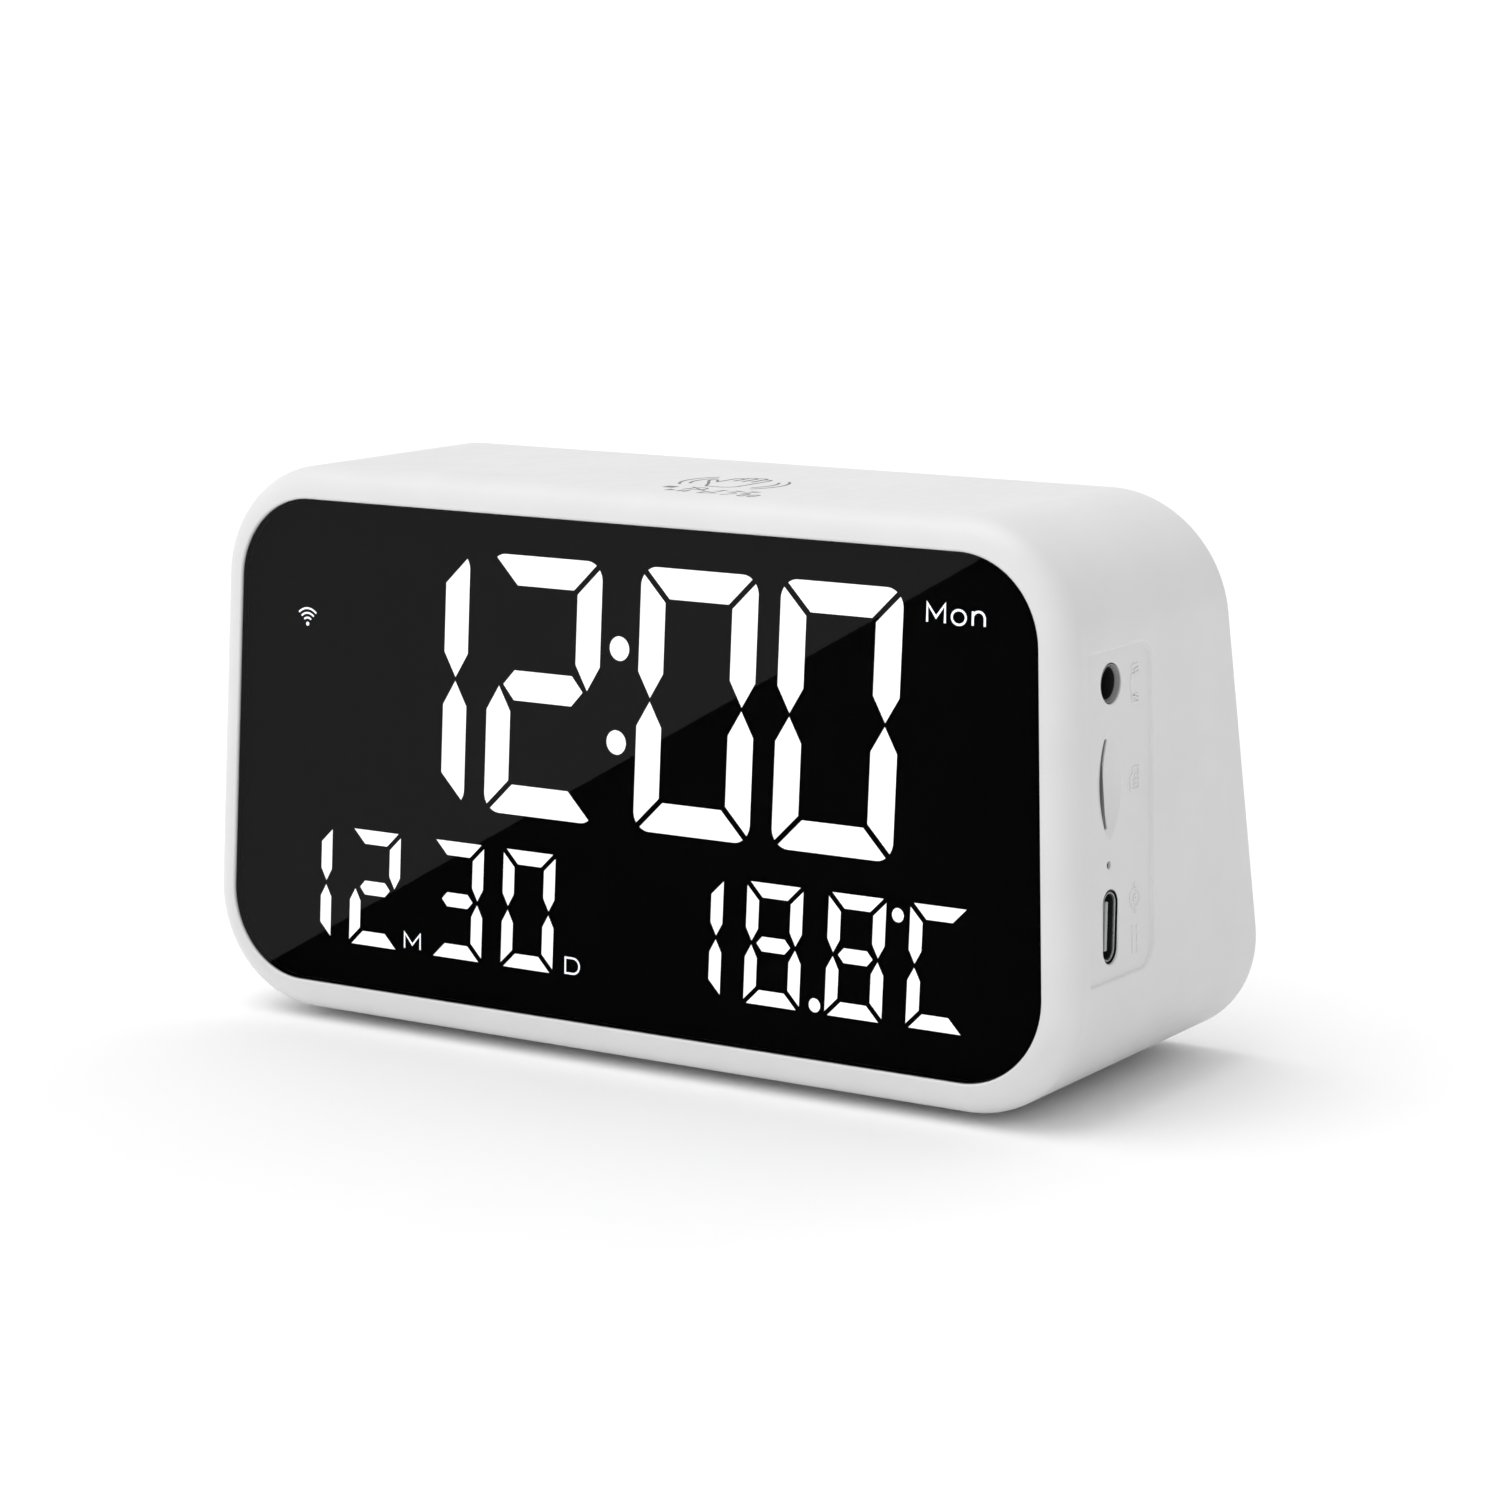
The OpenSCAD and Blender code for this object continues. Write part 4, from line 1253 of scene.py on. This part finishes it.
def build_screws():
    """Pan-head cover screws with cross recesses, at the bottom of their counterbores."""
    shell = Shell()
    seat = COVER_OUT - SCREW_SINK
    top = 1.2
    head = [(1.05, -9), (1.05, 0), (2.5, 0), (2.5, 0.65), (2.38, 0.95), (2.1, 1.15), (1.8, top)]
    slot, slot_floor = cross(1.35, 0.62), cross(0.9, 0.4)
    for x, v in cover_screw_places():

        def ring(points, up):
            return [Vector((x + a, seat + up, v + b)) for a, b in points]

        rings = [ring(circle(r, 40), up) for r, up in head]
        shell.skin(rings)
        shell.cap(rings[0])
        shell.sheet(circle(1.8, 40), [slot], lambda a, b: Vector((x + a, seat + top, v + b)))
        shell.skin([ring(slot, top), ring(slot_floor, top - 0.75)])
        shell.cap(ring(slot_floor, top - 0.75))
    shell.make("cover_screw_set", REAR, STEEL, ["cover_screws"])


build_screws()


def build_feet():
    shell = Shell()
    low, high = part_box("rubber_feet")
    hollow = [(0, 0.35), (2.3, 0.35), (2.7, 0.28), (2.95, 0.05), (3.1, 0)]
    tread = [(3.9, 0), (4.25, 0.09), (4.45, 0.3), (FOOT_R, 0.55), (FOOT_R, 2.0), (0, 2.0)]
    for x in (low.x / MM + FOOT_R, high.x / MM - FOOT_R):
        for y in (low.y / MM + FOOT_R, high.y / MM - FOOT_R):
            shell.lathe(hollow + tread, lambda a, b, z: Vector((x + a, y + b, z)), 48)
    shell.make("rubber_foot_set", Matrix.Scale(MM, 4), FOOT_RUBBER, ["rubber_feet"])


build_feet()

# ---- camera

CAMERA_AT = Vector((0.33437, BASE_Y - 0.45937, BASE_Z + 0.149084))
LOOK = Vector((-0.55149, 0.81328, -0.18558)).normalized()
RIGHT = Vector((0.82885, 0.55934, -0.01188))
LENS_MM = 105.81

camera = bpy.data.objects.new("camera", bpy.data.cameras.new("camera"))
scene.collection.objects.link(camera)
scene.camera = camera
across = (RIGHT - LOOK * RIGHT.dot(LOOK)).normalized()
upwards = across.cross(LOOK)
turn = Matrix((across, upwards, -LOOK)).transposed().to_4x4()
camera.matrix_world = Matrix.Translation(CAMERA_AT) @ turn
camera.data.lens = LENS_MM
camera.data.sensor_width = 36.0
camera.data.clip_start = 0.01
camera.data.clip_end = 100.0

# ---- studio

scene.view_settings.view_transform = "Standard"


def stage_plane(name, corners, paint):
    mesh = bpy.data.meshes.new(name)
    mesh.from_pydata([tuple(c) for c in corners], [], [range(len(corners))])
    mesh.materials.append(paint)
    plane = bpy.data.objects.new(name, mesh)
    scene.collection.objects.link(plane)
    return plane


def floor_paint():
    p = Paint("studio_floor")
    p.tint(p.noise(60.0, detail=3.0), grey(0.95), grey(0.96))
    p.set(Roughness=0.9, Specular_IOR_Level=0.1)
    return p.material


FLOOR = ((-25, -25, 0), (25, -25, 0), (25, 25, 0), (-25, 25, 0))
stage_plane("floor", FLOOR, floor_paint())


def card(name, corners, level):
    """A card that only reflected and refracted rays see, like a studio flag."""
    p = Paint(name)
    p.set(Base_Color=(0, 0, 0, 1), Specular_IOR_Level=0)
    p.set(Emission_Color=(1, 1, 1, 1), Emission_Strength=level)
    plane = stage_plane(name, corners, p.material)
    for ray in ("camera", "diffuse", "volume_scatter", "shadow"):
        setattr(plane, f"visible_{ray}", False)


def glimpse(x, v, height):
    """The point at a height that the camera sees mirrored in the window at (x, v)."""
    point = FACE @ Vector((x, LENS_SET, v))
    normal = (FACE.to_3x3() @ Vector((0, -1, 0))).normalized()
    ray = (point - CAMERA_AT).normalized()
    ray = ray - normal * 2 * ray.dot(normal)
    return point + ray * (height - point.z) / ray.z


FLAG_LOW, FLAG_HIGH = 0.0008, 0.0014
FLAG_X, FLAG_TOP = 90, 82
FLAG = ((-FLAG_X, 1), (FLAG_X, 1), (FLAG_X, FLAG_TOP), (-FLAG_X, FLAG_TOP))
card("black_flag", [glimpse(x, v, FLAG_LOW) for x, v in FLAG], 0.0)

# The grey card's edge crosses the window from its lower left to its upper right
DIAGONAL = Vector((-59.3, 6.1)), Vector((55.1, 70.8))
GREY_LEVEL = 0.30
run = DIAGONAL[1] - DIAGONAL[0]
start, end = DIAGONAL[0] - run * 0.075, DIAGONAL[1] + run * 0.16
grey_corners = (start, end, (-FLAG_X, FLAG_TOP - 0.5), (-FLAG_X, start.y))
card("grey_card", [glimpse(*p, FLAG_HIGH) for p in grey_corners], GREY_LEVEL)

TENT_LEVEL = 0.9


def studio_world():
    """A white tent that is brighter towards the front and darker towards the right."""
    world = bpy.data.worlds.new("studio")
    tent = Tree(world, "Background")
    tent.set(Color=(1, 1, 1, 1))
    axes = tent.add("SeparateXYZ")
    tent.link(tent.add("TexCoord").outputs["Generated"], axes, 0)
    right = tent.spread(axes.outputs["X"], TENT_LEVEL, TENT_LEVEL - 0.45, 0.0, 0.9)
    front = tent.spread(axes.outputs["Y"], 0.0, 0.3, -0.1, -0.9)
    tent.link(tent.math("ADD", right, front), tent.shader, "Strength")
    return world


scene.world = studio_world()

sun = bpy.data.objects.new("softbox", bpy.data.lights.new("softbox", "SUN"))
scene.collection.objects.link(sun)
sun.data.energy = 0.9
sun.data.angle = math.radians(50)
sun.rotation_mode = "QUATERNION"
sun.rotation_quaternion = Vector((0.2, 0.2, -1.0)).to_track_quat("-Z", "Y")
